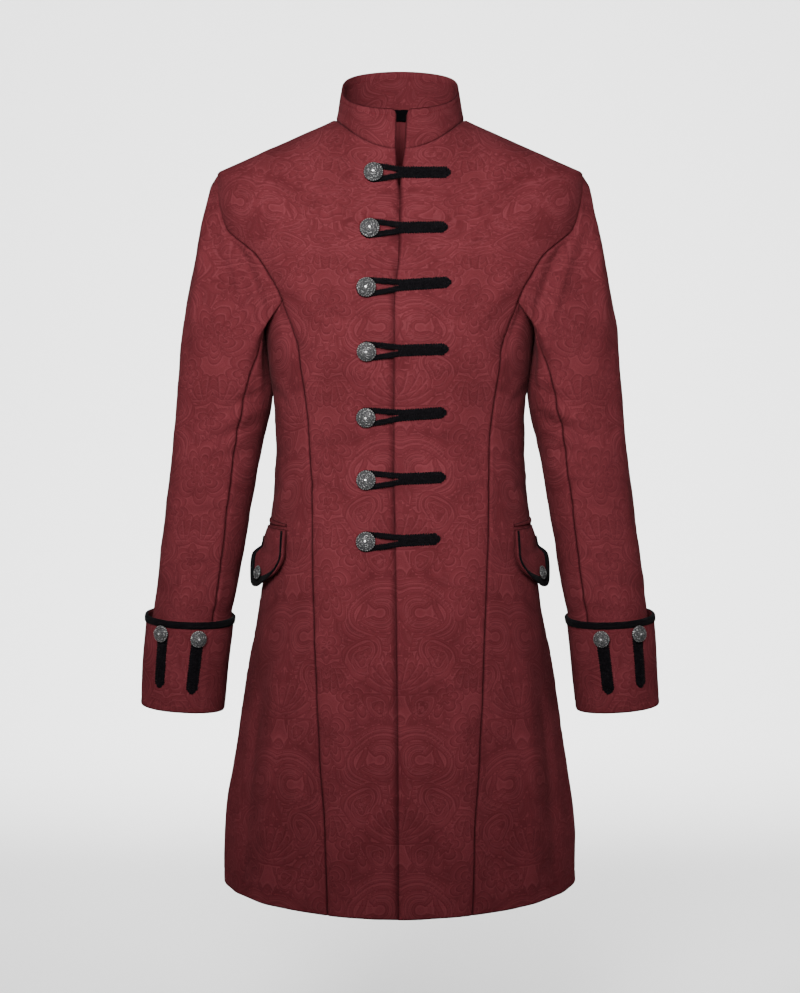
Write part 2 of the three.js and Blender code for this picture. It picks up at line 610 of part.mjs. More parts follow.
// The neck seam from the right front edge round the back to the left front edge
const rightNeck = rightFrontPlaces[TOP_ROW].map(({ theta }) => -theta);
const leftNeck = leftFrontPlaces[TOP_ROW].map(({ theta }) => theta);
const backNeck = backPlaces[TOP_ROW].map(({ theta }) => theta).slice(1);
const neckThetas = [
  ...rightNeck,
  ...backNeck.map((theta) => -theta),
  ...backNeck.slice(0, -1).reverse(),
  ...[...leftNeck].reverse(),
];
const neckBase = neckThetas.map((theta) => body(theta, NECK));
const neckRim = neckThetas.map((theta, k) => {
  const rim = rimPoint(theta);
  const onRight = k < neckThetas.length / 2;
  const edge = onRight ? COLLAR_FRONT_EDGE.right : COLLAR_FRONT_EDGE.left;
  const base = neckBase[onRight ? 0 : neckThetas.length - 1].x;
  const near = 1 - smoothstep(Math.abs(rim.x), Math.abs(base), 30);
  rim.x += Math.cos(theta) > 0 ? (edge - base) * near : 0;
  return rim;
});

function neckFrame(k) {
  const last = neckThetas.length - 1;
  const tangent = neckBase[Math.min(k + 1, last)].clone().sub(neckBase[Math.max(k - 1, 0)]).normalize();
  const bodyN = bodyNormal(neckThetas[k], NECK - 1);
  const towards = tangent.clone().cross(bodyN).normalize();
  towards.multiplyScalar(Math.sign(towards.z || 1));
  const away = neckRim[k].clone().sub(neckBase[k]);
  away.addScaledVector(tangent, -away.dot(tangent)).normalize();
  const collarN = tangent.clone().cross(away).normalize();
  collarN.multiplyScalar(Math.sign(collarN.dot(bodyN)));
  return { ...seamFrame(tangent, bodyN, towards, collarN, away), collarN, corner: true };
}

const neckFrames = neckThetas.map((_, k) => neckFrame(k));
const mirrorX = (v) => point(-v.x, v.y, v.z);
const mirroredFrame = (frame) => ({
  ...frame,
  across: mirrorX(frame.across),
  inwardA: mirrorX(frame.inwardA),
  inwardB: mirrorX(frame.inwardB),
});
const withNeck = (frames, columns, indexOf, mirrored) => {
  const all = new Map(frames);
  range(columns + 1).forEach((j) => {
    const frame = neckFrames[indexOf(j)];
    all.set(`${TOP_ROW} ${j}`, mirrored ? mirroredFrame(frame) : frame);
  });
  return all;
};
const NECK_LAST = neckThetas.length - 1;
const leftFrontFrames = withNeck(frontFrames, FRONT_COLUMNS, (j) => NECK_LAST - j, false);
const rightFrontFrames = withNeck(frontFrames, FRONT_COLUMNS, (j) => j, true);
const leftBackFrames = withNeck(backFrames, BACK_COLUMNS, (j) => NECK_LAST - FRONT_COLUMNS - j, false);

function collarGeometry() {
  const rows = range(COLLAR_ROWS + 1).map((i) => neckBase.map((base, k) => {
    const height = i / COLLAR_ROWS;
    const p = mix(base, neckRim[k], height);
    const fromEnd = Math.min(p.distanceTo(mix(neckBase[0], neckRim[0], height)),
      p.distanceTo(mix(neckBase[NECK_LAST], neckRim[NECK_LAST], height)));
    const corner = Math.max(0, COLLAR_CORNER - fromEnd);
    const drop = COLLAR_CORNER - Math.sqrt(COLLAR_CORNER ** 2 - corner ** 2);
    return p.addScaledVector(point(0, 0, -1), drop * smoothstep(height, 0.5, 1));
  }));
  const normals = rows.map((row) => row.map((_, k) => neckFrames[k].collarN));
  const outer = rows.map((row) => row.map((p) => p.clone()));
  const inwards = normals.map((row) => row.map((n) => n.clone()));
  outer[0].forEach((p, k) => {
    p.addScaledVector(neckFrames[k].across, SEAM_GAP / 2);
    inwards[0][k] = neckFrames[k].inwardB;
  });
  return wall(outer, offsetGrid(outer, inwards, -COLLAR_CLOTH));
}

// Sleeve panels: the columns between two seams, sewn to the armhole at the top
function sleevePanel(firstColumn, lastColumn) {
  const columns = range(lastColumn - firstColumn + 1).map((c) => (firstColumn + c + LOOP) % LOOP);
  const surface = sleeveGrid.map((row) => columns.map((k) => row[k]));
  const normals = sleeveNormals.map((row) => columns.map((k) => row[k]));
  const outer = surface.map((row) => row.map((p) => p.clone()));
  const inwards = normals.map((row) => row.map((n) => n.clone()));
  for (const edge of ['left', 'right']) {
    const { place, moves } = insetEdge(surface, normals, edge);
    moves.forEach((move, i) => {
      const [row, column] = place(i);
      outer[row][column].add(move);
    });
  }
  columns.forEach((k, c) => {
    outer[0][c].addScaledVector(armholeFrames[k].across, SEAM_GAP / 2);
    inwards[0][c] = armholeFrames[k].inwardB;
  });
  return wall(outer, offsetGrid(outer, inwards, -CLOTH));
}

// Cuffs
const cuffCurves = Object.fromEntries(['outer', 'inner', 'halfDepth', 'middle'].map((column) => (
  [column, curveThrough(CUFF_LINES, 'share', column)])));

function cuffPoint(angle, share) {
  const height = lerp(edgeHeight(CUFF_BOTTOM, angle), edgeHeight(CUFF_TOP, angle), share);
  const lines = Object.fromEntries(Object.entries(cuffCurves).map(([name, curve]) => [name, curve(share)]));
  return tubePoint(lines, angle, height);
}

function cuffNormal(angle, share) {
  const around = cuffPoint(angle + 1, share).sub(cuffPoint(angle - 1, share));
  const up = cuffPoint(angle, share + 0.01).sub(cuffPoint(angle, share - 0.01));
  const normal = around.cross(up).normalize();
  const centre = cuffPoint(0, share).add(cuffPoint(180, share)).divideScalar(2);
  return normal.multiplyScalar(Math.sign(normal.dot(cuffPoint(angle, share).sub(centre))));
}

const cuffAngles = range(CUFF_COLUMNS).map((j) => (360 * j) / CUFF_COLUMNS);

function cuffGeometry() {
  const shares = range(CUFF_ROWS + 1).map((i) => i / CUFF_ROWS);
  const outer = shares.map((share) => cuffAngles.map((angle) => cuffPoint(angle, share)));
  const normals = shares.map((share) => cuffAngles.map((angle) => cuffNormal(angle, share)));
  return wall(outer, offsetGrid(outer, normals, -CLOTH), true);
}

// The binding folds over the cuff's top edge, so its section is an angle
function cuffBindingGeometry() {
  const depth = CUFF_TOP.height - CUFF_BOTTOM.height;
  const low = 1 - BINDING.width / depth;
  const up = point(0, 0, 1);
  const sections = cuffAngles.map((angle) => {
    const top = cuffPoint(angle, 1);
    const bottom = cuffPoint(angle, low);
    const [topN, lowN] = [cuffNormal(angle, 1), cuffNormal(angle, low)];
    const reach = LIFT + BINDING.thickness;
    return [
      bottom.clone().addScaledVector(lowN, LIFT),
      bottom.clone().addScaledVector(lowN, reach),
      top.clone().addScaledVector(topN, reach).addScaledVector(up, reach),
      top.clone().addScaledVector(topN, -CLOTH).addScaledVector(up, reach),
      top.clone().addScaledVector(topN, -CLOTH).addScaledVector(up, LIFT),
      top.clone().addScaledVector(topN, LIFT).addScaledVector(up, LIFT),
    ];
  });
  const count = sections[0].length;
  const triangles = [];
  sections.forEach((_, j) => {
    const next = (j + 1) % sections.length;
    range(count).forEach((s) => {
      const after = (s + 1) % count;
      triangles.push([j * count + s, next * count + s, next * count + after]);
      triangles.push([j * count + s, next * count + after, j * count + after]);
    });
  });
  return solid(sections.flat(), triangles);
}

// An upright tab on the cuff, with a blunt lower end
function cuffTabGeometry({ top, end }) {
  const rows = TAB.taper.length - 1;
  const at = (row, side) => {
    const share = row / rows;
    const angle = lerp(top.angle, end.angle, share) + side * TAB.halfAngle * TAB.taper[row];
    const height = lerp(top.share + TAB.rise, end.share, share);
    return { p: cuffPoint(angle, height), n: cuffNormal(angle, height) };
  };
  const grid = (distance) => range(rows + 1).map((row) => [-1, 0, 1].map((side) => {
    const { p, n } = at(row, side);
    return p.clone().addScaledVector(n, distance);
  }));
  return wall(grid(LIFT + TAB.thickness), grid(LIFT));
}

// A domed button on a short shank, pointing along a normal
function buttonGeometry({ radius, shank }, seat, normal) {
  const shankRadius = radius * 0.3;
  const profile = [
    [0, 0],
    [shankRadius, 0],
    [shankRadius, shank],
    [radius * 0.94, shank],
    [radius, shank + 1.4],
    [radius * 0.86, shank + 3.4],
    [radius * 0.5, shank + 5],
    [0, shank + 5.6],
  ].map(([r, h]) => new THREE.Vector2(r, h));
  const geometry = new THREE.LatheGeometry(profile, 12);
  geometry.applyQuaternion(new THREE.Quaternion().setFromUnitVectors(point(0, 1, 0), normal));
  geometry.translate(...seat.toArray());
  return geometry;
}

// The panels' own flat rows, so that what lies on them clears every facet
function panelSurface(theta, level) {
  const i = clamp(rowLevels.findIndex((row) => row >= level) - 1, 0, rowLevels.length - 2);
  const share = (level - rowLevels[i]) / (rowLevels[i + 1] - rowLevels[i]);
  return mix(body(theta, rowLevels[i]), body(theta, rowLevels[i + 1]), share);
}

// The front surface by x and height, without the underlap
function frontPlace(x, height) {
  let [low, high] = [HEM, NECK];
  for (let i = 0; i < 30; i += 1) {
    const middle = (low + high) / 2;
    if (panelSurface(thetaAt(x, middle), middle).z < height) {
      low = middle;
    } else {
      high = middle;
    }
  }
  const theta = thetaAt(x, low);
  return { p: panelSurface(theta, low), n: bodyNormal(theta, low) };
}

// A plate that lies on a surface: flat corners and triangles, each corner set down by place(corner, distance)
function plate(corners, triangles, place, lift, thickness) {
  const count = corners.length;
  const points = [lift + thickness, lift].flatMap((distance) => corners.map((corner) => place(corner, distance)));
  const all = triangles.flatMap(([a, b, c]) => [[a, b, c], [a + count, c + count, b + count]]);
  const edges = new Map(triangles.flatMap(([a, b, c]) => [[a, b], [b, c], [c, a]].map((e) => [e.join(), e])));
  for (const [a, b] of edges.values()) {
    if (!edges.has(`${b},${a}`)) {
      all.push([b, a, a + count], [b, a + count, b + count]);
    }
  }
  return solid(points, all);
}

// One frog: a braided tab that splits into two strands and closes round the button's shank
function frogGeometry({ x, height, end, climb }) {
  const { halfWidth, loopRadius, holeRadius, split, point: tip, step, turns } = FROG;
  const round = (radius, k, from) => {
    const turn = degToRad(lerp(from, 360 - from, k / turns));
    return [x + radius * Math.cos(turn), radius * Math.sin(turn)];
  };
  // The loop as pairs of outer and inner corners, from the split round the button and back
  const strand = range(3).map((k) => (k + 0.5) / 3);
  const upperStrand = strand.map((share) => [
    [lerp(split, x + 3, share), lerp(halfWidth, loopRadius, share ** 0.8)],
    [lerp(split - 2, x + 3, share), lerp(0.6, holeRadius, share ** 0.8)],
  ]);
  const loop = [
    ...upperStrand,
    ...range(turns + 1).map((k) => [round(loopRadius, k, 82), round(holeRadius, k, 70)]),
    ...upperStrand.map((pair) => pair.map(([px, py]) => [px, -py])).reverse(),
  ];
  const steps = Math.ceil((end - tip - split) / step);
  const tab = range(steps + 1).map((k) => lerp(split, end - tip, k / steps));
  const corners = [
    ...loop.flat(),
    ...tab.flatMap((px) => [[px, halfWidth], [px, -halfWidth]]),
    [end, halfWidth * 0.3],
    [end, -halfWidth * 0.3],
    [split - 2, 0],
  ];
  const tabStart = loop.length * 2;
  const hub = corners.length - 1;
  const triangles = [];
  const quad = (a, b, c, d) => triangles.push([a, b, c], [a, c, d]);
  range(loop.length - 1).forEach((k) => quad(2 * k, 2 * k + 2, 2 * k + 3, 2 * k + 1));
  range(steps + 1).forEach((k) => {
    const at = tabStart + 2 * k;
    quad(at, at + 1, at + 3, at + 2);
  });
  quad(tabStart, 0, 1, hub);
  quad(tabStart + 1, hub, tabStart - 1, tabStart - 2);
  triangles.push([tabStart, hub, tabStart + 1]);
  // Every triangle is turned the same way in the flat
  for (const triangle of triangles) {
    const [[ax, ay], [bx, by], [cx, cy]] = triangle.map((id) => corners[id]);
    if ((bx - ax) * (cy - ay) - (by - ay) * (cx - ax) < 0) {
      triangle.reverse();
    }
  }
  const slope = climb / (end - x);
  const place = ([px, py], distance) => {
    const { p, n } = frontPlace(px, height + py + (px - x) * slope);
    return p.addScaledVector(n, distance);
  };
  return plate(corners, triangles, place, LIFT, FROG.thickness);
}

// Pocket flap: the top row lies on the body, each other row is a curve through its three points
const LAST_FLAP_ROW = FLAP_ROWS.length;

function flapRowPoint(row, along) {
  if (row === 0) {
    const theta = lerp(thetaAt(FLAP_TOP.frontX, FLAP_TOP.level), degToRad(FLAP_TOP.endAngle), along);
    return panelSurface(theta, FLAP_TOP.level).addScaledVector(bodyNormal(theta, FLAP_TOP.level), LIFT + CLOTH);
  }
  const { front, middle, rear } = FLAP_ROWS[row - 1];
  return new THREE.CatmullRomCurve3([point(...front), point(...middle), point(...rear)]).getPoint(along);
}

function flapPoint(row, along) {
  const i = clamp(Math.floor(row), 0, LAST_FLAP_ROW - 1);
  return mix(flapRowPoint(i, along), flapRowPoint(i + 1, along), row - i);
}

const flapRows = range(LAST_FLAP_ROW + 1);
const flapAlong = range(FLAP_COLUMNS + 1).map((j) => j / FLAP_COLUMNS);
const flapGrid = flapRows.map((row) => flapAlong.map((along) => flapPoint(row, along)));
const flapNormals = gridNormals(flapGrid).map((row) => row.map((n) => n.multiplyScalar(Math.sign(n.x) || 1)));

// A place on the flap's own facets, by row and share of the row
function flapFacet(row, along) {
  const i = clamp(Math.floor(row), 0, LAST_FLAP_ROW - 1);
  const j = clamp(Math.floor(along * FLAP_COLUMNS), 0, FLAP_COLUMNS - 1);
  const [down, across] = [row - i, along * FLAP_COLUMNS - j];
  const blend = (grid) => mix(
    mix(grid[i][j], grid[i][j + 1], across),
    mix(grid[i + 1][j], grid[i + 1][j + 1], across),
    down,
  );
  return { p: blend(flapGrid), n: blend(flapNormals).normalize() };
}

const flapGeometry = () => wall(flapGrid, offsetGrid(flapGrid, flapNormals, -CLOTH));

// The flap's trim runs down beside the front edge, round the point and up the rear edge
function flapTrimGeometry() {
  const edgePath = [
    ...range(LAST_FLAP_ROW).map((row) => ({ row: Math.max(row, 0.12), front: true })),
    { row: LAST_FLAP_ROW - 0.35, tip: true },
    ...range(LAST_FLAP_ROW).reverse().map((row) => ({ row: Math.max(row, 0.12), front: false })),
  ];
  const rowLength = (row) => flapPoint(row, 0).distanceTo(flapPoint(row, 1));
  const place = (spot, inset) => {
    if (spot.tip) {
      return { row: spot.row - inset / 16, along: 0.5 };
    }
    const length = rowLength(spot.row);
    const limit = 0.5 - 1.2 / length;
    const along = Math.min(inset / length, limit);
    return { row: spot.row, along: spot.front ? along : 1 - along };
  };
  const surface = ({ row, along }, distance) => {
    const { p, n } = flapFacet(row, along);
    return p.addScaledVector(n, distance);
  };
  const grid = (distance) => edgePath.map((spot) => {
    const start = spot.front || spot.tip ? FLAP_TRIM.inset : FLAP_TRIM.rearInset;
    return [start, start + FLAP_TRIM.width].map((inset) => surface(place(spot, inset), distance));
  });
  return wall(grid(FLAP_TRIM.lift + FLAP_TRIM.thickness), grid(FLAP_TRIM.lift));
}

// The welt lies on the body just above the flap
function weltGeometry() {
  const columns = 8;
  const [front, rear] = [thetaAt(WELT.frontX, WELT.bottom), degToRad(WELT.endAngle)];
  const grid = (distance) => [0, 1].map((row) => range(columns + 1).map((j) => {
    const share = j / columns;
    const theta = lerp(front, rear, share);
    const level = WELT.bottom + row * WELT.width * lerp(0.45, 1, share);
    return panelSurface(theta, level).addScaledVector(bodyNormal(theta, level), distance);
  }));
  return wall(grid(LIFT + WELT.thickness), grid(LIFT));
}

// A plain label inside the back neck
function labelGeometry() {
  const columns = 4;
  const grid = (distance) => [LABEL.bottom, LABEL.top].map((height) => range(columns + 1).map((j) => {
    const x = lerp(-LABEL.halfWidth, LABEL.halfWidth, j / columns);
    let level = SHOULDER_TIP;
    while (level < NECK - 1 && body(thetaAt(x, level, true), level).z < height) {
      level += 0.25;
    }
    const theta = thetaAt(x, level, true);
    return body(theta, level).addScaledVector(bodyNormal(theta, level), -distance);
  }));
  return wall(grid(CLOTH + LABEL.room), grid(CLOTH + LABEL.room + LABEL.thickness));
}

// Mirrors a geometry to the wearer's right
function mirrored(geometry) {
  const copy = geometry.clone();
  copy.scale(-1, 1, 1);
  const index = copy.getIndex();
  const order = index ? Array.from(index.array) : range(copy.getAttribute('position').count);
  const flipped = order.map((_, i) => order[i - (i % 3) + [0, 2, 1][i % 3]]);
  copy.setIndex(flipped);
  copy.computeVertexNormals();
  return copy;
}

// The right front sinks under the left one near the centre
function underlapSink(p) {
  const side = smoothstep(-p.x, UNDERLAP_START.x, UNDERLAP_FULL.x);
  const low = 1 - smoothstep(p.z, UNDERLAP_FULL.height, UNDERLAP_START.height);
  return UNDERLAP_DEPTH * side * low;
}

// The assembled coat
const coat = new THREE.Group();

function add(name, geometry, material) {
  const mesh = new THREE.Mesh(geometry, material);
  mesh.name = name;
  coat.add(mesh);
}

function addPair(name, geometry, material, suffix = '') {
  add(`${name}_left${suffix}`, geometry, material);
  add(`${name}_right${suffix}`, mirrored(geometry), material);
}

add('front_left', bodyPanel(leftFrontPlaces, ['right'], leftFrontFrames), damask);
add('front_right', mirrored(bodyPanel(rightFrontPlaces, ['right'], rightFrontFrames, underlapSink)), damask);
addPair('side_front', bodyPanel(sideFrontPlaces, ['left', 'right'], sideFrontFrames), damask);
addPair('side_back', bodyPanel(sideBackPlaces, ['left', 'right'], sideBackFrames), damask);
addPair('back', bodyPanel(backPlaces, ['left', 'right'], leftBackFrames), damask);
add('collar', collarGeometry(), damask);
addPair('upper_sleeve', sleevePanel(BACK_SLEEVE_SEAM.column - LOOP, FRONT_SLEEVE_SEAM.column), damask);
addPair('under_sleeve', sleevePanel(FRONT_SLEEVE_SEAM.column, BACK_SLEEVE_SEAM.column), damask);
addPair('cuff', cuffGeometry(), damask);
addPair('cuff_binding', cuffBindingGeometry(), blackBraid);
addPair('flap', flapGeometry(), damask);
addPair('flap_trim', flapTrimGeometry(), blackBraid);
addPair('flap_welt', weltGeometry(), damask);

CUFF_TABS.forEach((tab, i) => {
  const { angle, share } = tab.top;
  const normal = cuffNormal(angle, share);
  const seat = cuffPoint(angle, share).addScaledVector(normal, LIFT * 2 + TAB.thickness);
  addPair('cuff_tab', cuffTabGeometry(tab), blackBraid, `_${i + 1}`);
  addPair('cuff_button', buttonGeometry(CUFF_BUTTON, seat, normal), agedMetal, `_${i + 1}`);
});

const flapButtonNormal = flapNormals[FLAP_BUTTON.row][Math.round(FLAP_BUTTON.along * FLAP_COLUMNS)];
const flapSeat = flapPoint(FLAP_BUTTON.row - 0.3, FLAP_BUTTON.along)
  .addScaledVector(flapButtonNormal, LIFT * 2 + FLAP_TRIM.thickness + FLAP_BUTTON.lift);
addPair('flap_button', buttonGeometry(FLAP_BUTTON, flapSeat, flapButtonNormal), agedMetal);

FROGS.forEach((frog, i) => {
  const { p, n } = frontPlace(frog.x, frog.height);
  add(`frog_${i + 1}`, frogGeometry(frog), blackBraid);
  add(`front_button_${i + 1}`, buttonGeometry(FRONT_BUTTON, p.addScaledVector(n, LIFT), n), agedMetal);
});
add('neck_label', labelGeometry(), blackBraid);

export default coat;
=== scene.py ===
import math

import bmesh
import bpy
import numpy as np
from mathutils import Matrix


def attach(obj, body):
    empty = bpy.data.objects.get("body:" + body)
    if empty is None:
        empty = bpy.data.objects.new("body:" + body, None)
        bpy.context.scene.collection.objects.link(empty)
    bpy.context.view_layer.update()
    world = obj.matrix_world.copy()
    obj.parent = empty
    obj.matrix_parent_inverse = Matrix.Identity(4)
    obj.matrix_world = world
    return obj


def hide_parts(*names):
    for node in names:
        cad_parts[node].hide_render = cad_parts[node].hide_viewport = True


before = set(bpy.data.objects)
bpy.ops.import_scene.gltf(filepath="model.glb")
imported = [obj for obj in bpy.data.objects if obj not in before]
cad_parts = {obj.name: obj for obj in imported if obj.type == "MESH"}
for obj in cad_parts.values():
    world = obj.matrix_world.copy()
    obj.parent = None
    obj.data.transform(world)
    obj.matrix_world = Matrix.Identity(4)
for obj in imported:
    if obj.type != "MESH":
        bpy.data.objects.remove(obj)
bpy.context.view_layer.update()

# Sizes are in millimetres until a mesh is made. +X is the wearer's left, the fronts face -Y.
MM = 0.001
CLOTH = 2.0
COLLAR_CLOTH = 3.0
LIFT = 0.35
HEM = -946.0
UNDERARM = -248.0
NOTCH = -226.0
TIP = -65.0
NECK = 1.0
QUARTER = math.pi / 2
CELL = 3.1  # spacing of the cloth's grid
FLIP = {1: np.array((1, 1, 1)), -1: np.array((-1, 1, 1))}  # what is built on the left, mirrored for the right

# The body's rings: level, front, back, half width, front depth, back depth, bend
BODY_RINGS = (
    (HEM, HEM, HEM, 219.5, 193, 185, 1.82),
    (-870, -870, -870, 213.5, 183, 176, 1.9),
    (-800, -800, -800, 203, 172, 166, 2),
    (-735, -735, -735, 192.5, 161, 157, 2.05),
    (-660, -660, -660, 182, 149, 147, 2.1),
    (-586, -586, -586, 173, 136, 138, 2.15),
    (-510, -510, -510, 163.5, 123, 126, 2.2),
    (-455, -455, -455, 157, 114, 112, 2.25),
    (-408, -408, -408, 153.8, 109, 102, 2.3),
    (-361, -361, -361, 155.6, 112, 106, 2.3),
    (-311, -311, -311, 162, 119, 117, 2.35),
    (-248, -249, -247, 171, 124, 127, 2.4),
    (-200, -207, -195, 196, 122, 127, 2.45),
    (-150, -165, -140, 219, 115, 121, 2.5),
    (-100, -127, -83, 228, 108, 108, 2.5),
    (TIP, -100, -45, 227, 103, 94, 2.5),
)
NECK_RING = np.array((-42, 23, 80, 95, 65, 2.05))
YOKE_SOFTENING = 30
FRONT_PRINCESS = (
    (HEM, 85), (-852, 88), (-766, 96), (-632, 102), (-491, 107), (-395, 109.5), (-344, 115), (-287, 124.5),
    (-257, 133), (NOTCH, 143),
)
BACK_PRINCESS = ((HEM, 112), (-700, 98), (-550, 88), (-407, 74), (-330, 87), (-270, 118), (NOTCH, 145))
FRONT_ARMHOLE = (
    (NOTCH, 143), (-208, 151), (-187, 162), (-167, 175), (-151, 194), (-135, 213), (-112, 221), (-89, 225),
    (TIP, 227),
)
BACK_ARMHOLE = ((NOTCH, 145), (-187, 158), (-151, 178), (-112, 205), (-89, 219), (TIP, 227))
LEFT_FRONT_EDGE = (
    (HEM, -2), (-770, -3), (-520, -6), (-430, -7.7), (-230, -7), (-176, -2.3), (-88, 0), (-42, 5.5),
)
RIGHT_FRONT_EDGE = ((HEM, 14), (-150, 14), (-118, 9), (-96, 2), (-84, -2.2), (-42, -5))
COLLAR_RIM = {"half_width": 72.4, "front_depth": 86, "back_depth": 65, "side": 42, "front": 6, "back": 70,
              "rise": 0.75}
COLLAR_EDGE = {"left": 8.5, "right": -4.8}

# Sleeve: height, outer line, inner line, half depth, middle
SLEEVE_LINES = (
    (-735, 318.6, 220.8, 45.5, -20),
    (-622, 307.2, 210.2, 47, -14),
    (-612, 306, 209.6, 47.2, -13.5),
    (-600, 304.8, 206.8, 47.6, -12.5),
    (-549, 298, 197.2, 49, -10),
    (-474, 290.4, 185.4, 52, -6),
    (-399, 282.8, 171.3, 56, -3),
    (-342, 277.5, 160.4, 59, -2),
    (-311, 273, 164.2, 60, -2),
    (-280, 270, 169, 61, -3),
    (-249, 267, 173.2, 61, -4),
    (-211, 261, 178, 60, -6),
    (-174, 254, 181, 57, -7),
    (-136, 247, 184, 50, -6),
    (-99, 239, 187, 42, -3),
    (-79, 234.5, 189, 36, -1),
    (TIP, 229, 190, 30, 0),
)
SLEEVE_BEND = 2.15
SLEEVE_REACH = ((0, 13), (45, 60), (90, 120), (140, 95), (180, 55))
LOOP = 24
FRONT_SEAM = {"column": 9, "top": 110, "wrist": 130}
BACK_SEAM = {"column": 16, "top": 235, "wrist": 235}
WRIST = (-726, 4, 1)
CUFF_LINES = ((0, 321.4, 218, 48.6, -20), (0.5, 319, 212.2, 52, -17.5), (1, 314.8, 206.6, 53.5, -14.5))
CUFF_BOTTOM = (-727, 4, 1)
CUFF_TOP = (-615, 2.6, 3.4)


def clamp(value, low=0.0, high=1.0):
    return np.clip(value, low, high)


def smooth(value, low, high):
    t = clamp((value - low) / (high - low))
    return t * t * (3 - 2 * t)


def lerp(a, b, share):
    return a + (b - a) * share


def signed_power(value, power):
    return np.sign(value) * np.abs(value) ** power


# A smooth curve through a table, which never swings past its rows
def curve_through(rows, column=1):
    rows = sorted(rows)
    at = np.array([row[0] for row in rows], float)
    value = np.array([row[column] for row in rows], float)
    slope = np.diff(value) / np.diff(at)
    before = np.concatenate([slope[:1], slope])
    after = np.concatenate([slope, slope[-1:]])
    product = before * after
    total = np.where(product > 0, before + after, 1.0)
    tangent = np.where(product > 0, 2 * product / total, 0.0)

    def read(where):
        x = np.clip(np.asarray(where, float), at[0], at[-1])
        i = np.clip(np.searchsorted(at, x) - 1, 0, len(slope) - 1)
        span = at[i + 1] - at[i]
        t = (x - at[i]) / span
        return (
            (1 + 2 * t) * (1 - t) ** 2 * value[i]
            + t * t * (3 - 2 * t) * value[i + 1]
            + span * (t * (1 - t) ** 2 * tangent[i] + t * t * (t - 1) * tangent[i + 1])
        )

    return read


RING_CURVES = [curve_through(BODY_RINGS, column) for column in range(1, 7)]
TIP_RING = np.array(BODY_RINGS[-1][1:], float)
front_princess = curve_through(FRONT_PRINCESS)
back_princess = curve_through(BACK_PRINCESS)
front_armhole = curve_through(FRONT_ARMHOLE)
back_armhole = curve_through(BACK_ARMHOLE)
left_edge = curve_through(LEFT_FRONT_EDGE)
right_edge = curve_through(RIGHT_FRONT_EDGE)
SLEEVE_CURVES = [curve_through(SLEEVE_LINES, column) for column in range(1, 5)]
CUFF_CURVES = [curve_through(CUFF_LINES, column) for column in range(1, 5)]
sleeve_reach = curve_through(SLEEVE_REACH)


def ring_at(level):
    level = np.asarray(level, float)
    share = clamp((level - TIP) / (NECK - TIP))
    return [
        np.where(share > 0, lerp(TIP_RING[i], NECK_RING[i], share), RING_CURVES[i](level)) for i in range(6)
    ]


def ring_point(theta, level):
    front, back, half_width, front_depth, back_depth, bend = ring_at(level)
    sine, cosine = np.sin(theta), np.cos(theta)
    ahead = cosine > 0
    depth = np.where(ahead, -front_depth, back_depth)
    centre = np.where(ahead, front, back)
    power = 2 / bend
    return np.stack([
        half_width * signed_power(sine, power),
        depth * np.abs(cosine) ** power,
        level + (centre - level) * cosine ** 2,
    ], -1)


# The body's surface by angle and level: 0 is the centre front, half a turn the centre back
def body(theta, level):
    theta, level = np.broadcast_arrays(np.asarray(theta, float), np.asarray(level, float))
    room = np.maximum(0, NECK - level)
    aside = smooth(np.abs(np.cos(theta)), 0.1, 0.6)
    high = smooth(level, -300, -200)
    spread = np.minimum(YOKE_SOFTENING * aside * high, room)
    total = np.zeros(theta.shape + (3,))
    for i, weight in enumerate((1, 4, 6, 4, 1)):
        total += ring_point(theta, level + spread * (i - 2) / 2) * weight / 16
    return total


def body_normal(theta, level):
    around = body(theta + 0.01, level) - body(theta - 0.01, level)
    up = body(theta, np.minimum(level + 1, NECK)) - body(theta, level - 1)
    normal = np.cross(around, up)
    return normal / np.linalg.norm(normal, axis=-1, keepdims=True)


def theta_at(x, level, behind=False):
    _, _, half_width, _, _, bend = ring_at(level)
    sine = clamp(np.abs(x) / half_width) ** (bend / 2)
    theta = np.arcsin(sine) * np.where(np.asarray(x) < 0, -1, 1)
    return math.pi - theta if behind else theta


# A table's value between four of its entries
def between(table, i0, j0, i1, j1, a, b):
    return (
        table[i0, j0] * (1 - a) * (1 - b) + table[i1, j0] * a * (1 - b)
        + table[i0, j1] * (1 - a) * b + table[i1, j1] * a * b
    )


# Distance walked along a line of points
def walked(points):
    steps = np.linalg.norm(np.diff(points, axis=0), axis=-1)
    return np.concatenate([[0], np.cumsum(steps)])


# Distance round the body from the centre front, by angle and level
ARC_LEVELS = np.linspace(HEM, NECK, 160)
ARC_ANGLES = np.linspace(0, math.pi, 241)
_ring_grid = body(ARC_ANGLES[None, :], ARC_LEVELS[:, None])
_steps = np.linalg.norm(np.diff(_ring_grid, axis=1), axis=-1)
ARC_TABLE = np.concatenate([np.zeros((len(ARC_LEVELS), 1)), np.cumsum(_steps, axis=1)], axis=1)


def arc_at(theta, level):
    row = clamp((level - HEM) / (NECK - HEM)) * (len(ARC_LEVELS) - 1.001)
    column = clamp(np.abs(theta) / math.pi) * (len(ARC_ANGLES) - 1.001)
    i, j = row.astype(int), column.astype(int)
    return np.sign(theta) * between(ARC_TABLE, i, j, i + 1, j + 1, row - i, column - j)


# Smooth random height over a plane, the same each run
def value_noise(x, y, scale, seed):
    size = 64
    table = np.random.default_rng(seed).uniform(-1, 1, (size, size))
    fx, fy = np.asarray(x) / scale, np.asarray(y) / scale
    i, j = np.floor(fx).astype(int), np.floor(fy).astype(int)
    a, b = fx - i, fy - j
    a, b = a * a * (3 - 2 * a), b * b * (3 - 2 * b)
    return between(table, i % size, j % size, (i + 1) % size, (j + 1) % size, a, b)


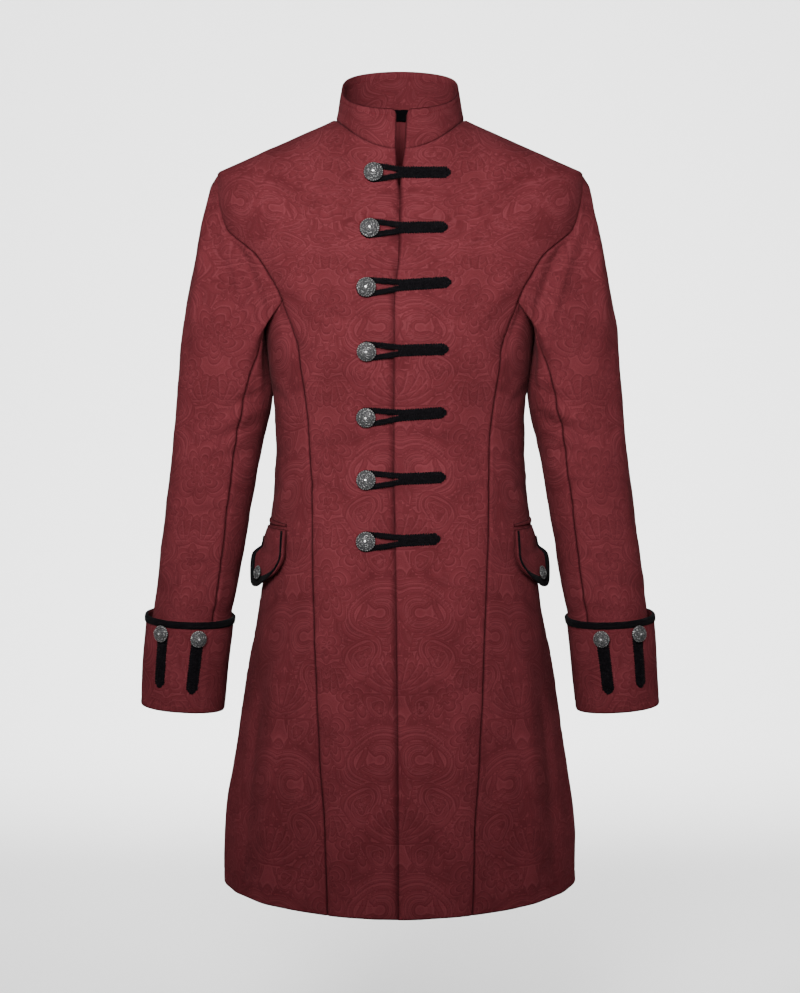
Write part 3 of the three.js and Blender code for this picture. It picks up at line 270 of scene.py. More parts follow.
# Folds: start (across, height), end (across, height), half width, height of the ridge or trough, bow
def fold_height(across, height, folds):
    total = np.zeros(np.broadcast(across, height).shape)
    for x0, z0, x1, z1, width, depth, bow in folds:
        dx, dz = x1 - x0, z1 - z0
        length = math.hypot(dx, dz)
        along = ((across - x0) * dx + (height - z0) * dz) / length
        off = ((across - x0) * -dz + (height - z0) * dx) / length
        share = along / length
        off = off - bow * 4 * share * (1 - share)
        ends = smooth(share, -0.12, 0.22) * (1 - smooth(share, 0.78, 1.12))
        total += depth * np.exp(-((off / width) ** 2)) * ends
    return total


FOLD_GAIN = 1.5
SIDE_ARC = 262.0  # distance round from the centre front to the side seam under the arm

# Folds of the body: distance round from the centre front (+ to the wearer's left) and level
BODY_FOLDS = (
    # chest: soft hollows from the armholes towards the buttons
    (168, -205, 120, -300, 9, -2.2, 6), (-166, -200, -118, -300, 9, -2.4, -6),
    (150, -160, 92, -262, 12, 1.5, 5), (-150, -162, -96, -255, 12, 1.4, -5),
    (60, -120, 40, -230, 12, -0.9, 4), (-64, -128, -52, -214, 12, -0.8, -4),
    (20, -252, 96, -236, 8, -0.8, 2), (-54, -252, -110, -240, 8, -0.9, -3),
    # waist and front between the frogs
    (8, -326, 84, -316, 8, -1.0, 3), (-50, -322, -108, -330, 8, -1.1, -3),
    (16, -392, 100, -404, 7, -1.3, 4), (-46, -398, -106, -408, 7, -1.4, -4),
    (20, -428, 104, -420, 7, 1.1, -3), (-52, -426, -104, -418, 7, 1.0, 3),
    (62, -470, 116, -448, 7, -1.5, 3), (-60, -470, -118, -446, 7, -1.6, -3),
    (8, -556, 64, -548, 7, -1.1, 2), (-8, -566, -70, -552, 7, -1.2, -2),
    (150, -352, 206, -330, 8, -1.4, 3), (-150, -352, -206, -332, 8, -1.4, -3),
    (150, -408, 210, -416, 9, -1.3, -3), (-150, -410, -210, -416, 9, -1.2, 3),
    (160, -450, 214, -464, 9, -1.2, 2), (-164, -452, -212, -466, 9, -1.2, -2),
    # skirt: long soft flutes from the hip down, and the faint line across it
    (64, -640, 78, -935, 16, 2.0, 3), (-60, -650, -82, -935, 15, 1.9, -3),
    (36, -700, 42, -938, 12, -1.7, 2), (-34, -690, -46, -938, 12, -1.6, -2),
    (104, -720, 122, -940, 13, -2.2, 3), (-106, -716, -126, -940, 13, -2.3, -3),
    (160, -640, 178, -940, 18, 3.0, 4), (-158, -650, -180, -940, 18, 2.9, -4),
    (206, -700, 228, -940, 14, -2.6, 3), (-204, -690, -230, -940, 14, -2.6, -3),
    (258, -620, 292, -940, 20, 3.2, 4), (-256, -630, -290, -940, 20, 3.1, -4),
    (-96, -690, -22, -706, 7, -0.9, 2), (24, -700, 92, -690, 7, -0.8, 2),
    (10, -692, 110, -688, 5, -0.7, 1), (-110, -690, -10, -692, 5, -0.7, 1),
    # back: hollows at the waist and behind the arms, and the back skirt's flutes
    (420, -180, 352, -300, 10, -2.0, 5), (-418, -182, -354, -298, 10, -2.1, -5),
    (322, -392, 400, -404, 8, -1.7, 3), (-324, -390, -398, -406, 8, -1.6, -3),
    (300, -440, 392, -428, 8, 1.3, 3), (-302, -438, -394, -430, 8, 1.3, -3),
    (330, -640, 352, -940, 18, -2.6, 4), (-330, -636, -354, -940, 18, -2.6, -4),
    (400, -600, 432, -940, 20, 3.0, 4), (-402, -610, -436, -940, 20, 3.1, -4),
    (470, -640, 502, -940, 18, -2.6, 3), (-468, -650, -500, -940, 18, -2.5, -3),
    (540, -620, 580, -940, 18, 2.6, 3), (-542, -616, -582, -940, 18, 2.6, -3),
)


def body_relief(across, level):
    broad = value_noise(across, level, 95, 11) * 1.4 + value_noise(across * 0.8, level, 40, 12) * 0.95
    fine = value_noise(across * 0.7, level, 17, 13) * 0.34
    calm = 1 - smooth(level, -120, -8)
    arm = np.exp(-(((np.abs(across) - SIDE_ARC) / 45) ** 2)) * smooth(level, -400, -350)
    return (FOLD_GAIN * fold_height(across, level, BODY_FOLDS) + broad + fine) * calm * (1 - 0.85 * arm)


# The right front sinks under the left one near the centre
def underlap_sink(points):
    side = smooth(points[..., 0], -32, -13)
    low = 1 - smooth(points[..., 2], -85, -62)
    return 3.1 * side * low


# Grid positions with a few extra lines near both edges
def spaced(length, cell=CELL, edge=(0.0, 0.7, 1.6, 2.8)):
    count = max(3, int(round((length - 2 * edge[-1]) / cell)))
    middle = np.linspace(edge[-1], length - edge[-1], count + 1)
    at = np.concatenate([edge[:-1], middle, length - np.array(edge[:-1])[::-1]])
    extra = (-(len(at) - 1)) % 3
    if extra:
        middle = np.linspace(edge[-1], length - edge[-1], count + 1 + extra)
        at = np.concatenate([edge[:-1], middle, length - np.array(edge[:-1])[::-1]])
    return at / length


# Normals of a grid, turned the way that "away" points
def grid_normals(grid, away):
    normal = np.cross(np.gradient(grid, axis=1), np.gradient(grid, axis=0))
    normal /= np.maximum(np.linalg.norm(normal, axis=-1, keepdims=True), 1e-9)
    return -normal if (away * normal).sum() < 0 else normal


# How far each grid point is from the grid's four edges, in millimetres
def edge_distances(grid):
    across = np.linalg.norm(np.diff(grid, axis=1), axis=-1)
    along = np.linalg.norm(np.diff(grid, axis=0), axis=-1)
    columns = np.concatenate([np.zeros((grid.shape[0], 1)), np.cumsum(across, axis=1)], axis=1)
    rows = np.concatenate([np.zeros((1, grid.shape[1])), np.cumsum(along, axis=0)], axis=0)
    return {"first": columns, "last": columns[:, -1:] - columns, "bottom": rows, "top": rows[-1:] - rows}


# A seam pulls the cloth down into a groove, with puckers that come and go along it
def seam_relief(distance, along, seed, depth=1.6, width=1.5, pucker=0.6):
    groove = -depth * np.exp(-((distance / width) ** 2))
    ripple = value_noise(along, along * 0 + 3.7, 7.5, seed) * np.exp(-((distance - 4) / 5) ** 2)
    swell = 0.35 * np.exp(-((distance - 5) / 3) ** 2)
    return groove + swell + pucker * ripple


def edge_relief(distance, depth=0.9, width=1.1):
    return -depth * np.exp(-((distance / width) ** 2))


# A row of stitches presses a shallow furrow into the cloth
def stitch_relief(distance, along, depth=0.45, width=1.3, pitch=3.4):
    return -depth * np.exp(-((distance / width) ** 2)) * (1 + 0.25 * np.sin(along * math.tau / pitch))


# The damask's figure in one half of its repeat, which is mirrored at both sides and repeats upwards
HALF_REPEAT = 80.0
REPEAT = 153.0
FIGURE_SCALE = 1.12
# kind, across, up, length or radius, width or aspect, turn in degrees, petals or bow
MOTIFS = (
    ("fan", 0, 14, 43, 1.0, 90, 9),
    ("swirl", 41, 49, 23, 1.0, 20, 2),
    ("flower", 80, 66, 21, 1.0, 0, 5),
    ("swirl", 25, 4, 14, 1.0, 0, 2),
    ("flower", 80, 118, 33, 1.0, 0, 8),
    ("fan", 74, 47, 37, 1.0, -96, 7),
    ("plume", 22, 97, 40, 13.0, 20, 128),
    ("plume", 22, 97, 22, 12.0, 200, 140),
    ("leaf", 56, 82, 30, 9.0, 62, 9),
    ("leaf", 12, 73, 22, 8.0, 118, -7),
    ("flower", 47, 5, 21, 1.0, 15, 6),
    ("leaf", 47, 133, 30, 8.5, 152, 10),
    ("leaf", 20, 142, 24, 7.0, 40, -8),
    ("leaf", 34, 21, 20, 6.5, 100, 6),
    ("swirl", 66, 78, 14, 1.0, 90, 2),
    ("bud", 0, 128, 16, 8.0, 90, 0),
    ("bud", 63, 20, 14, 7.0, 60, 0),
    ("leaf", 5, 58, 22, 6.0, 82, 4),
    ("stem", 50, 0, 16, 2.4, 0, 0),
    ("stem", 22, 60, 14, 2.2, 0, 0),
)


def damask_fields(across, up):
    across, up = across / FIGURE_SCALE, up / FIGURE_SCALE
    plain = np.abs((across + HALF_REPEAT) % (2 * HALF_REPEAT) - HALF_REPEAT)
    phase = up * math.tau / REPEAT
    aside = np.sin(plain * math.pi / HALF_REPEAT)
    folded = plain + aside * (4.0 * np.sin(2 * phase + plain / 16) + 1.1 * np.sin(4 * phase - plain / 10))
    height = up + 4.0 * np.sin(plain / 14 + phase) + 1.0 * np.sin(plain / 8 - 2 * phase)
    depths, firsts, seconds = [], [], []
    for kind, cx, cy, size, width, turn, count in MOTIFS:
        dx = folded - cx
        dy = (height - cy + REPEAT / 2) % REPEAT - REPEAT / 2
        cosine, sine = math.cos(math.radians(turn)), math.sin(math.radians(turn))
        x = dx * cosine + dy * sine
        y = dy * cosine - dx * sine
        radius = np.hypot(x, y)
        angle = np.arctan2(y, x)
        if kind == "flower":
            petal = np.abs(np.cos(angle * count / 2)) ** 0.7
            depth = size * (0.62 + 0.38 * petal) - radius
            first = depth / 7.4
            second = angle * count / math.tau + 0.5
        elif kind == "swirl":
            depth = size * (1 + 0.09 * np.cos(3 * angle)) - radius
            first = angle * count / math.tau + np.log(np.maximum(radius, 1.5)) * 2.3
            second = first * 0 + 0.5
        elif kind == "fan":
            spread = math.radians(76)
            petal = np.abs(np.cos((angle / spread) * count * QUARTER)) ** 0.6
            reach = size * (0.8 + 0.2 * petal) * (1 - 0.16 * (angle / spread) ** 2)
            depth = np.minimum(reach - radius, (spread - np.abs(angle)) * radius * 0.9)
            first = (angle / spread) * count / 2 + 0.5 * (count % 2)
            second = (reach - radius) / 13.0
        elif kind == "plume":
            opening = math.radians(count)
            inner = size - 2.6 * width / 2
            depth = np.minimum(np.minimum(size - radius, radius - inner),
                               (opening - np.abs(angle)) * radius)
            first = (size - radius) / 4.3
            second = first * 0 + 0.5
        elif kind == "leaf":
            bowed = y - count * ((x / size) ** 2 - 0.4)
            share = clamp(1 - (x / size) ** 2, -1, 1)
            depth = (width * share - np.abs(bowed)) * 0.9
            first = bowed / 60
            second = (x - np.abs(bowed) * 1.6) / 9.0
        elif kind == "bud":
            depth = (1 - np.hypot(x / size, y / width)) * width
            first = (x + y) / 4.4
            second = (x - y) / 4.4
        else:
            wave = cx + size * np.sin((height - cy) * math.tau / REPEAT)
            depth = width - np.abs(folded - wave)
            first = depth * 0 + 0.5
            second = first
        depths.append(depth)
        firsts.append(first)
        seconds.append(second)
    return np.array(depths), np.array(firsts), np.array(seconds)


# The figure at each face's corners: depth inside the outline, and two counters with lines at whole numbers
def figure_at_corners(faces, across, up):
    depths, firsts, seconds = damask_fields(across, up)
    at_face = depths[:, faces].mean(axis=2)
    over = at_face > -0.9
    chosen = np.where(over.any(axis=0), over.argmax(axis=0), at_face.argmax(axis=0))
    chosen = chosen[:, None]
    depth, first, second = depths[chosen, faces], firsts[chosen, faces], seconds[chosen, faces]
    first = first - np.round(first - first[:, :1]) * (np.abs(first - first[:, :1]) > 0.9)
    second = second - np.round(second - second[:, :1]) * (np.abs(second - second[:, :1]) > 0.9)
    return np.stack([depth, first, second], -1).reshape(-1, 3)


def quads(rows, columns, closed=False):
    index = np.arange(rows * columns).reshape(rows, columns)
    corners = (index[:-1, :-1], index[:-1, 1:], index[1:, 1:], index[1:, :-1])
    faces = np.stack(corners, -1).reshape(-1, 4)
    if closed:
        last = columns - 1
        faces = np.where(faces % columns == last, faces - last, faces)
    return faces


# Faces between rings of points, each ring closed on itself
def ring_faces(rings, turns, first=0, looped=False):
    faces = []
    for i in range(first, rings if looped else rings - 1):
        ahead = (i + 1) % rings * turns
        for k in range(turns):
            n = (k + 1) % turns
            faces.append((i * turns + k, i * turns + n, ahead + n, ahead + k))
    return faces


# Several sets of points and faces as one
def joined(parts):
    points, faces, start = [], [], 0
    for outline, strip in parts:
        points.append(outline)
        faces += [tuple(v + start for v in face) for face in strip]
        start += len(outline)
    return np.concatenate(points), faces


PREFIX = "coat_"


# A piece of the coat, which stands for the node of the same name unless it is extra
def new_object(node, points, faces, material, attributes=None, smooth_shading=True, extra=False):
    mesh = bpy.data.meshes.new(PREFIX + node)
    mesh.from_pydata((np.asarray(points) * MM).tolist(), [], faces)
    for key, (domain, values) in (attributes or {}).items():
        layer = mesh.attributes.new(key, "FLOAT_VECTOR", domain)
        layer.data.foreach_set("vector", np.ascontiguousarray(values, np.float32).ravel())
    mesh.polygons.foreach_set("use_smooth", [smooth_shading] * len(mesh.polygons))
    mesh.materials.append(material)
    mesh.update()
    piece = bpy.data.objects.new(PREFIX + node, mesh)
    bpy.context.scene.collection.objects.link(piece)
    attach(piece, "root")
    if not extra:
        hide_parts(node)
    return piece


# Drops loose points, and turns every face out where asked
def clean(piece, outward=True):
    bm = bmesh.new()
    bm.from_mesh(piece.data)
    loose = [v for v in bm.verts if not v.link_faces]
    bmesh.ops.delete(bm, geom=loose, context="VERTS")
    if outward:
        bmesh.ops.recalc_face_normals(bm, faces=bm.faces)
    bm.to_mesh(piece.data)
    bm.free()


PLAIN_GROUND = (-6.0, 0.5, 0.5)  # far outside every figure, between two lines
SEAM_SHADE = 1.5  # how far the painted shade of a seam or edge reaches


# A sheet with thickness: a fine outer face with the figure, a coarser lining, and closed edges
def shell(node, side, outer, normals, across, up, thickness=CLOTH, closed=False, stride=3, shade=0.0):
    outer, normals = outer * FLIP[side], normals * FLIP[side]
    rows, columns = outer.shape[:2]
    base = rows * columns
    picked = np.ix_(range(0, rows, stride), range(0, columns, stride))
    inner = (outer - normals * np.broadcast_to(thickness, (rows, columns))[..., None])[picked]
    inner_rows, inner_columns = inner.shape[:2]
    outer_faces = quads(rows, columns, closed)
    inner_faces = quads(inner_rows, inner_columns, closed)[:, ::-1] + base
    faces = [tuple(face) for face in np.concatenate([outer_faces, inner_faces]).tolist()]

    def outer_id(i, j):
        return i * columns + (j % (columns - 1) if closed else j)

    def inner_id(i, j):
        return base + i * inner_columns + (j % (inner_columns - 1) if closed else j)

    top, last = inner_rows - 1, inner_columns - 1
    for j in range(last):
        span = range(j * stride, j * stride + stride + 1)
        faces.append((*[outer_id(0, c) for c in reversed(span)], inner_id(0, j), inner_id(0, j + 1)))
        faces.append((*[outer_id(rows - 1, c) for c in span], inner_id(top, j + 1), inner_id(top, j)))
    for i in range(0 if closed else top):
        span = range(i * stride, i * stride + stride + 1)
        faces.append((*[outer_id(r, 0) for r in span], inner_id(i + 1, 0), inner_id(i, 0)))
        far = [outer_id(r, columns - 1) for r in reversed(span)]
        faces.append((*far, inner_id(i, last), inner_id(i + 1, last)))

    corners = [figure_at_corners(outer_faces, across.ravel(), up.ravel())]
    if stride == 1:
        corners.append(figure_at_corners(inner_faces - base, across.ravel(), up.ravel()))
    sizes = [len(face) for face in faces]
    corners.append(np.tile(PLAIN_GROUND, (sum(sizes) - sum(len(part) for part in corners), 1)))
    figure = np.concatenate(corners)
    facing = np.cross(outer[0, 1] - outer[0, 0], outer[1, 0] - outer[0, 0])
    if np.dot(facing, normals[0, 0]) < 0:
        faces = [face[::-1] for face in faces]
        starts = np.cumsum([0] + sizes[:-1])
        figure = figure[np.concatenate([np.arange(s + n - 1, s - 1, -1) for s, n in zip(starts, sizes)])]

    # painted shade: the cloth is darkened in the seams' grooves and along its edges, and where a painted
    # shadow is passed in as shade; it rides in the cloth attribute's third value
    reach = edge_distances(outer)
    edges = ("bottom", "top") if closed else ("bottom", "top", "first", "last")
    nearest = np.minimum.reduce([reach[edge] for edge in edges])
    painted_shade = np.maximum(np.exp(-((nearest / SEAM_SHADE) ** 2)), shade)
    cloth = np.zeros((base + inner_rows * inner_columns, 3))
    cloth[:base] = np.stack([across, up, painted_shade], -1).reshape(-1, 3)
    cloth[base:, 0] = across[picked].ravel()
    cloth[base:, 1] = up[picked].ravel()
    points = np.concatenate([outer.reshape(-1, 3), inner.reshape(-1, 3)])
    piece = new_object(node, points, faces, DAMASK, {"figure": ("CORNER", figure), "cloth": ("POINT", cloth)})
    if closed:
        clean(piece, outward=False)
    return piece


# Shader nodes written as sums
class Tree:
    def __init__(self, name):
        self.material = bpy.data.materials.new(name)
        self.material.use_nodes = True
        self.nodes = self.material.node_tree.nodes
        self.links = self.material.node_tree.links
        self.shader = self.nodes["Principled BSDF"]

    def make(self, kind, **settings):
        node = self.nodes.new(kind)
        for key, value in settings.items():
            setattr(node, key, value)
        return node

    def put(self, socket, value):
        if isinstance(value, bpy.types.NodeSocket):
            self.links.new(value, socket)
        else:
            socket.default_value = value

    def look(self, values):
        for name, value in values.items():
            self.put(self.shader.inputs[name], value)
        return self.material

    def math(self, operation, *values):
        node = self.make("ShaderNodeMath", operation=operation)
        for socket, value in zip(node.inputs, values):
            self.put(socket, value)
        return node.outputs[0]

    def times(self, a, b):
        return self.math("MULTIPLY", a, b)

    def most(self, a, b):
        return self.math("MAXIMUM", a, b)

    def ramp(self, value, low, high, start=0.0, end=1.0, interpolation="SMOOTHSTEP"):
        node = self.make("ShaderNodeMapRange", interpolation_type=interpolation)
        for socket, given in zip(node.inputs, (value, low, high, start, end)):
            self.put(socket, given)
        return node.outputs[0]

    def mix(self, share, a, b, blend="MIX"):
        node = self.make("ShaderNodeMix", data_type="RGBA", blend_type=blend)
        self.put(node.inputs[0], share)
        self.put(node.inputs[6], a if isinstance(a, bpy.types.NodeSocket) else (*a, 1))
        self.put(node.inputs[7], b if isinstance(b, bpy.types.NodeSocket) else (*b, 1))
        return node.outputs[2]

    def attribute(self, name):
        return self.make("ShaderNodeAttribute", attribute_name=name).outputs["Vector"]

    def split(self, vector):
        node = self.make("ShaderNodeSeparateXYZ")
        self.put(node.inputs[0], vector)
        return node.outputs

    def noise(self, vector, scale, detail=2.0, roughness=0.5):
        node = self.make("ShaderNodeTexNoise")
        self.put(node.inputs["Vector"], vector)
        node.inputs["Scale"].default_value = scale
        node.inputs["Detail"].default_value = detail
        node.inputs["Roughness"].default_value = roughness
        return node.outputs[0]

    def bump(self, height, strength, distance, normal=None):
        node = self.make("ShaderNodeBump")
        node.inputs["Strength"].default_value = strength
        node.inputs["Distance"].default_value = distance
        self.put(node.inputs["Height"], height)
        if normal is not None:
            self.put(node.inputs["Normal"], normal)
        return node.outputs[0]

    def object_place(self):
        return self.make("ShaderNodeTexCoord").outputs["Object"]


GROUND = (0.0370, 0.0070, 0.0086)
FIGURE = (0.0305, 0.0055, 0.0069)
LINE = (0.0112, 0.0016, 0.0022)
# the colour of the painted shade in seams, along edges and in the shadow beside the overlapping front
PAINTED_SHADE_COLOUR = (0.0045, 0.0007, 0.0010)
# GLINT is a painted highlight: the colour of the light satin lines beside the dark ones
GLINT = (0.063, 0.0150, 0.0178)
LIGHT_SHARE = 0.27
LINE_SHARE = 0.25
PAINTED_SHADE_SHARE = 0.8
NEST_PITCH = 7.4  # between the lines that repeat an outline inside it
ECHO_PITCH = 4.6  # between those that repeat it outside


def damask_material():
    t = Tree("damask")
    depth, first, second = t.split(t.attribute("figure"))
    cloth = t.attribute("cloth")
    # the painted shade of seams, edges and the overlapping front's shadow
    painted_shade = t.split(cloth)[2]
    inside = t.ramp(depth, -0.8, 1.2)

    # a thread line where a counter is whole; shifted, it gives the light satin line beside each dark one,
    # painted bright as a highlight
    def counter(value, shift, low, high):
        moved = t.math("FRACT", t.math("ADD", value, 0.5 + shift))
        away = t.math("ABSOLUTE", t.math("SUBTRACT", moved, 0.5))
        return t.ramp(away, low, high, 1.0, 0.0)

    def band(centre, low, high):
        return t.ramp(t.math("ABSOLUTE", t.math("SUBTRACT", depth, centre)), low, high, 1.0, 0.0)

    nesting = t.math("DIVIDE", depth, NEST_PITCH)
    echo = t.math("DIVIDE", depth, ECHO_PITCH)
    deep = t.ramp(depth, 0.9, 2.0)
    outside = t.times(t.ramp(depth, -2.6, -1.6, 1.0, 0.0), 0.4)
    lines = t.most(counter(first, 0.0, 0.05, 0.17), t.times(counter(second, 0.0, 0.05, 0.15), 0.7))
    lines = t.most(lines, t.times(counter(nesting, 0.0, 0.05, 0.17), 0.85))
    lines = t.most(t.times(lines, deep), band(0.0, 0.3, 1.1))
    lines = t.most(lines, t.times(counter(echo, 0.35, 0.05, 0.17), outside))
    # painted highlight: light satin lines beside the dark ones, and a bright halo just outside each outline
    lights = t.most(counter(first, 0.19, 0.03, 0.13), t.times(counter(nesting, 0.2, 0.03, 0.13), 0.8))
    lights = t.most(t.times(lights, deep), band(-1.6, 0.2, 1.0))
    lights = t.most(lights, t.times(counter(echo, 0.55, 0.03, 0.13), outside))
    petal = t.math("FRACT", nesting)
    broad = t.noise(cloth, 0.02, 3.0)
    fine = t.noise(cloth, 0.9, 2.0)
    tone = t.mix(t.ramp(broad, 0.3, 0.7, 0.0, 1.0), (0.88, 0.86, 0.86), (1.1, 1.1, 1.1))
    fill = t.times(inside, t.ramp(petal, 0.0, 1.0, 0.55, 0.1, "LINEAR"))
    colour = t.mix(fill, GROUND, FIGURE)
    # the painted highlight laid over the cloth
    colour = t.mix(t.times(lights, LIGHT_SHARE), colour, GLINT)
    colour = t.mix(t.times(lines, LINE_SHARE), colour, LINE)
    # painted shade darkens the cloth in seams, along edges and beside the overlapping front edge
    colour = t.mix(t.times(painted_shade, PAINTED_SHADE_SHARE), colour, PAINTED_SHADE_COLOUR)
    colour = t.mix(1.0, colour, tone, "MULTIPLY")
    grain = t.mix(t.ramp(fine, 0.3, 0.7), (0.9, 0.9, 0.9), (1.08, 1.08, 1.08))
    colour = t.mix(1.0, colour, grain, "MULTIPLY")
    relief = t.math("SUBTRACT", t.times(lights, 0.5), t.times(lines, 0.8))
    wefts = t.make("ShaderNodeTexWave", wave_type="BANDS", bands_direction="DIAGONAL")
    t.put(wefts.inputs["Vector"], cloth)
    wefts.inputs["Scale"].default_value = 0.45
    wefts.inputs["Distortion"].default_value = 1.2
    normal = t.bump(wefts.outputs[1], 0.12, 0.0003)
    normal = t.bump(relief, 0.32, 0.0006, normal)
    return t.look({
        "Base Color": colour, "Roughness": t.ramp(fill, 0.0, 0.6, 0.60, 0.72, "LINEAR"), "Normal": normal,
        "Specular IOR Level": 0.0, "Sheen Weight": 0.006, "Sheen Roughness": 0.45,
        "Sheen Tint": (1.0, 0.62, 0.64, 1),
    })


def braid_material():
    t = Tree("black_braid")
    place = t.object_place()
    fuzz = t.noise(place, 900, 3.0)
    broad = t.noise(place, 120, 2.0)
    colour = t.mix(t.ramp(fuzz, 0.3, 0.75), (0.0004, 0.00035, 0.00045), (0.0026, 0.0023, 0.0027))
    colour = t.mix(t.ramp(broad, 0.4, 0.8, 0.0, 0.4), colour, (0.0018, 0.0015, 0.0018))
    return t.look({
        "Base Color": colour, "Roughness": 0.92, "Normal": t.bump(fuzz, 0.5, 0.0004),
        "Specular IOR Level": 0.0, "Sheen Weight": 0.006, "Sheen Roughness": 0.6,
    })


def metal_material():
    t = Tree("aged_metal")
    cavity = t.split(t.attribute("cavity"))[0]
    worn = t.noise(t.object_place(), 700, 2.0)
    wear = t.times(t.math("SUBTRACT", worn, 0.5), 0.5)
    bare = t.ramp(t.math("ADD", cavity, wear), 0.72, 1.0)
    colour = t.mix(bare, (0.0012, 0.0012, 0.0015), (0.30, 0.295, 0.29))
    return t.look({
        "Base Color": colour, "Metallic": t.ramp(bare, 0.0, 1.0, 0.3, 1.0, "LINEAR"),
        "Roughness": t.ramp(bare, 0.0, 1.0, 0.8, 0.36, "LINEAR"), "Normal": t.bump(worn, 0.2, 0.0002),
    })


def plain_material(name, dark, light, roughness, scale, bump=0.3):
    t = Tree(name)
    speck = t.noise(t.object_place(), scale, 3.0)
    return t.look({
        "Base Color": t.mix(t.ramp(speck, 0.3, 0.7), dark, light), "Roughness": roughness,
        "Specular IOR Level": 0.0, "Normal": t.bump(speck, bump, 0.0003),
    })


DAMASK = damask_material()
BRAID = braid_material()
METAL = metal_material()
LABEL_CLOTH = plain_material("label_weave", (0.0006, 0.0006, 0.0007), (0.0014, 0.0014, 0.0016), 0.8, 1400)
THREAD = plain_material("thread", (0.018, 0.0014, 0.0022), (0.045, 0.0040, 0.0060), 0.7, 900)

# Camera
EYE = {"distance": 2600.0, "height": -280.0, "focal_pixels": 2080.0, "horizon": 345.0}
FRAME_PIXELS = (800, 993)
SENSOR = 36.0
camera_data = bpy.data.cameras.new("camera")
camera = bpy.data.objects.new("camera", camera_data)
bpy.context.scene.collection.objects.link(camera)
bpy.context.scene.camera = camera
camera_data.sensor_width = SENSOR
camera_data.lens = SENSOR * EYE["focal_pixels"] / FRAME_PIXELS[1]
camera_data.shift_y = (EYE["horizon"] - FRAME_PIXELS[1] / 2) / FRAME_PIXELS[1]
camera_data.clip_end = 50
camera.location = (0, -EYE["distance"] * MM, EYE["height"] * MM)
camera.rotation_euler = (QUARTER, 0, 0)


# Stage: a wide pale bowl, flat under the coat and curving up all round it
def make_stage():
    floor, radius, rise = -1.25, 6.0, 3.0
    profile = [(r, floor) for r in np.linspace(0.05, radius - rise, 8)]
    profile += [(radius - rise + rise * math.sin(a), floor + rise * (1 - math.cos(a)))
                for a in np.linspace(0.1, QUARTER, 14)]
    profile.append((radius, floor + 6.5))
    turns = 72
    points = [(r * math.cos(k * math.tau / turns), r * math.sin(k * math.tau / turns), z)
              for r, z in profile for k in range(turns)]
    faces = ring_faces(len(profile), turns)
    faces.append(tuple(range(turns - 1, -1, -1)))
    mesh = bpy.data.meshes.new("stage")
    mesh.from_pydata(points, [], faces)
    mesh.polygons.foreach_set("use_smooth", [True] * len(mesh.polygons))
    paint = bpy.data.materials.new("stage_paint")
    paint.use_nodes = True
    shader = paint.node_tree.nodes["Principled BSDF"]
    shader.inputs["Base Color"].default_value = (0.86, 0.86, 0.86, 1)
    shader.inputs["Roughness"].default_value = 1.0
    shader.inputs["Specular IOR Level"].default_value = 0.0
    mesh.materials.append(paint)
    stage = bpy.data.objects.new("stage", mesh)
    bpy.context.scene.collection.objects.link(stage)


def area_light(name, place, target, size, power, spread):
    data = bpy.data.lights.new(name, "AREA")
    data.shape = "RECTANGLE"
    data.size, data.size_y = size
    data.energy = power
    data.spread = math.radians(spread)
    light = bpy.data.objects.new(name, data)
    bpy.context.scene.collection.objects.link(light)
    light.location = place
    light.visible_camera = False
    ahead = np.array(target, float) - np.array(place, float)
    ahead /= np.linalg.norm(ahead)
    light.rotation_euler = (math.acos(-ahead[2]), 0, math.atan2(ahead[1], ahead[0]) - QUARTER)


# Lights in metres: name, place, aim, size, power, spread in degrees
LIGHTS = (
    ("key", (-0.36, -1.95, 0.36), (-0.02, 0, -0.24), (1.0, 0.7), 22, 50),
    ("fill", (0.5, -1.9, 0.5), (0, 0, -0.35), (0.8, 0.8), 3.5, 60),
    ("wash_back", (0, 1.4, 1.5), (0, 6, 0.0), (2.4, 1.0), 330, 150),
    ("wash_left", (1.4, 0, 1.5), (6, 0, 0.0), (1.6, 1.0), 120, 150),
    ("wash_right", (-1.4, 0, 1.5), (-6, 0, 0.0), (1.6, 1.0), 120, 150),
    ("floor", (0, 1.5, 1.2), (0, 1.9, -1.25), (2.0, 1.0), 26, 120),
    ("wash_front", (0, -3.4, 1.7), (0, -6, 0.0), (1.6, 1.0), 30, 150),
)
make_stage()
for row in LIGHTS:
    area_light(*row)
world = bpy.data.worlds.new("studio")
bpy.context.scene.world = world
world.use_nodes = True
world.node_tree.nodes["Background"].inputs[0].default_value = (1, 1, 1, 1)
world.node_tree.nodes["Background"].inputs[1].default_value = 0.7


# Half of the area of a thin closed sheet is its cloth
def sheet_area(piece):
    areas = np.zeros(len(piece.data.polygons))
    piece.data.polygons.foreach_get("area", areas)
    return float(areas.sum() / 2)


# Flat cuts in millimetres: width, length, and how much of the cut shows
CUTS = {
    "front": (240, 1010, 0.66), "side": (230, 740, 0.7), "back": (250, 1010, 0.66), "upper": (250, 690, 0.8),
    "under": (150, 690, 0.8), "cuff": (380, 125, 0.9), "collar": (470, 75, 0.9), "flap": (96, 82, 0.8),
    "welt": (90, 12, 0.8),
}


def declare(piece, cut):
    width, length, share = CUTS[cut]
    min(share * width * length * MM * MM, sheet_area(piece))


# Body panels
def outer_theta(level, behind):
    level = np.asarray(level, float)
    princess, armhole = (back_princess, back_armhole) if behind else (front_princess, front_armhole)
    x = np.where(level < NOTCH, princess(level), armhole(level))
    theta = theta_at(x, level, behind)
    return np.where(level >= TIP, QUARTER, theta)


SKIRT_LEVEL = -700.0  # where a panel's width is measured
HEM_STITCH = 15.0
EDGE_STITCH = 6.0
RIM_STITCH = 8.0


def along_rows(grid):
    steps = np.linalg.norm(np.diff(grid, axis=0), axis=-1).mean(axis=1)
    return np.concatenate([[0], np.cumsum(steps)])


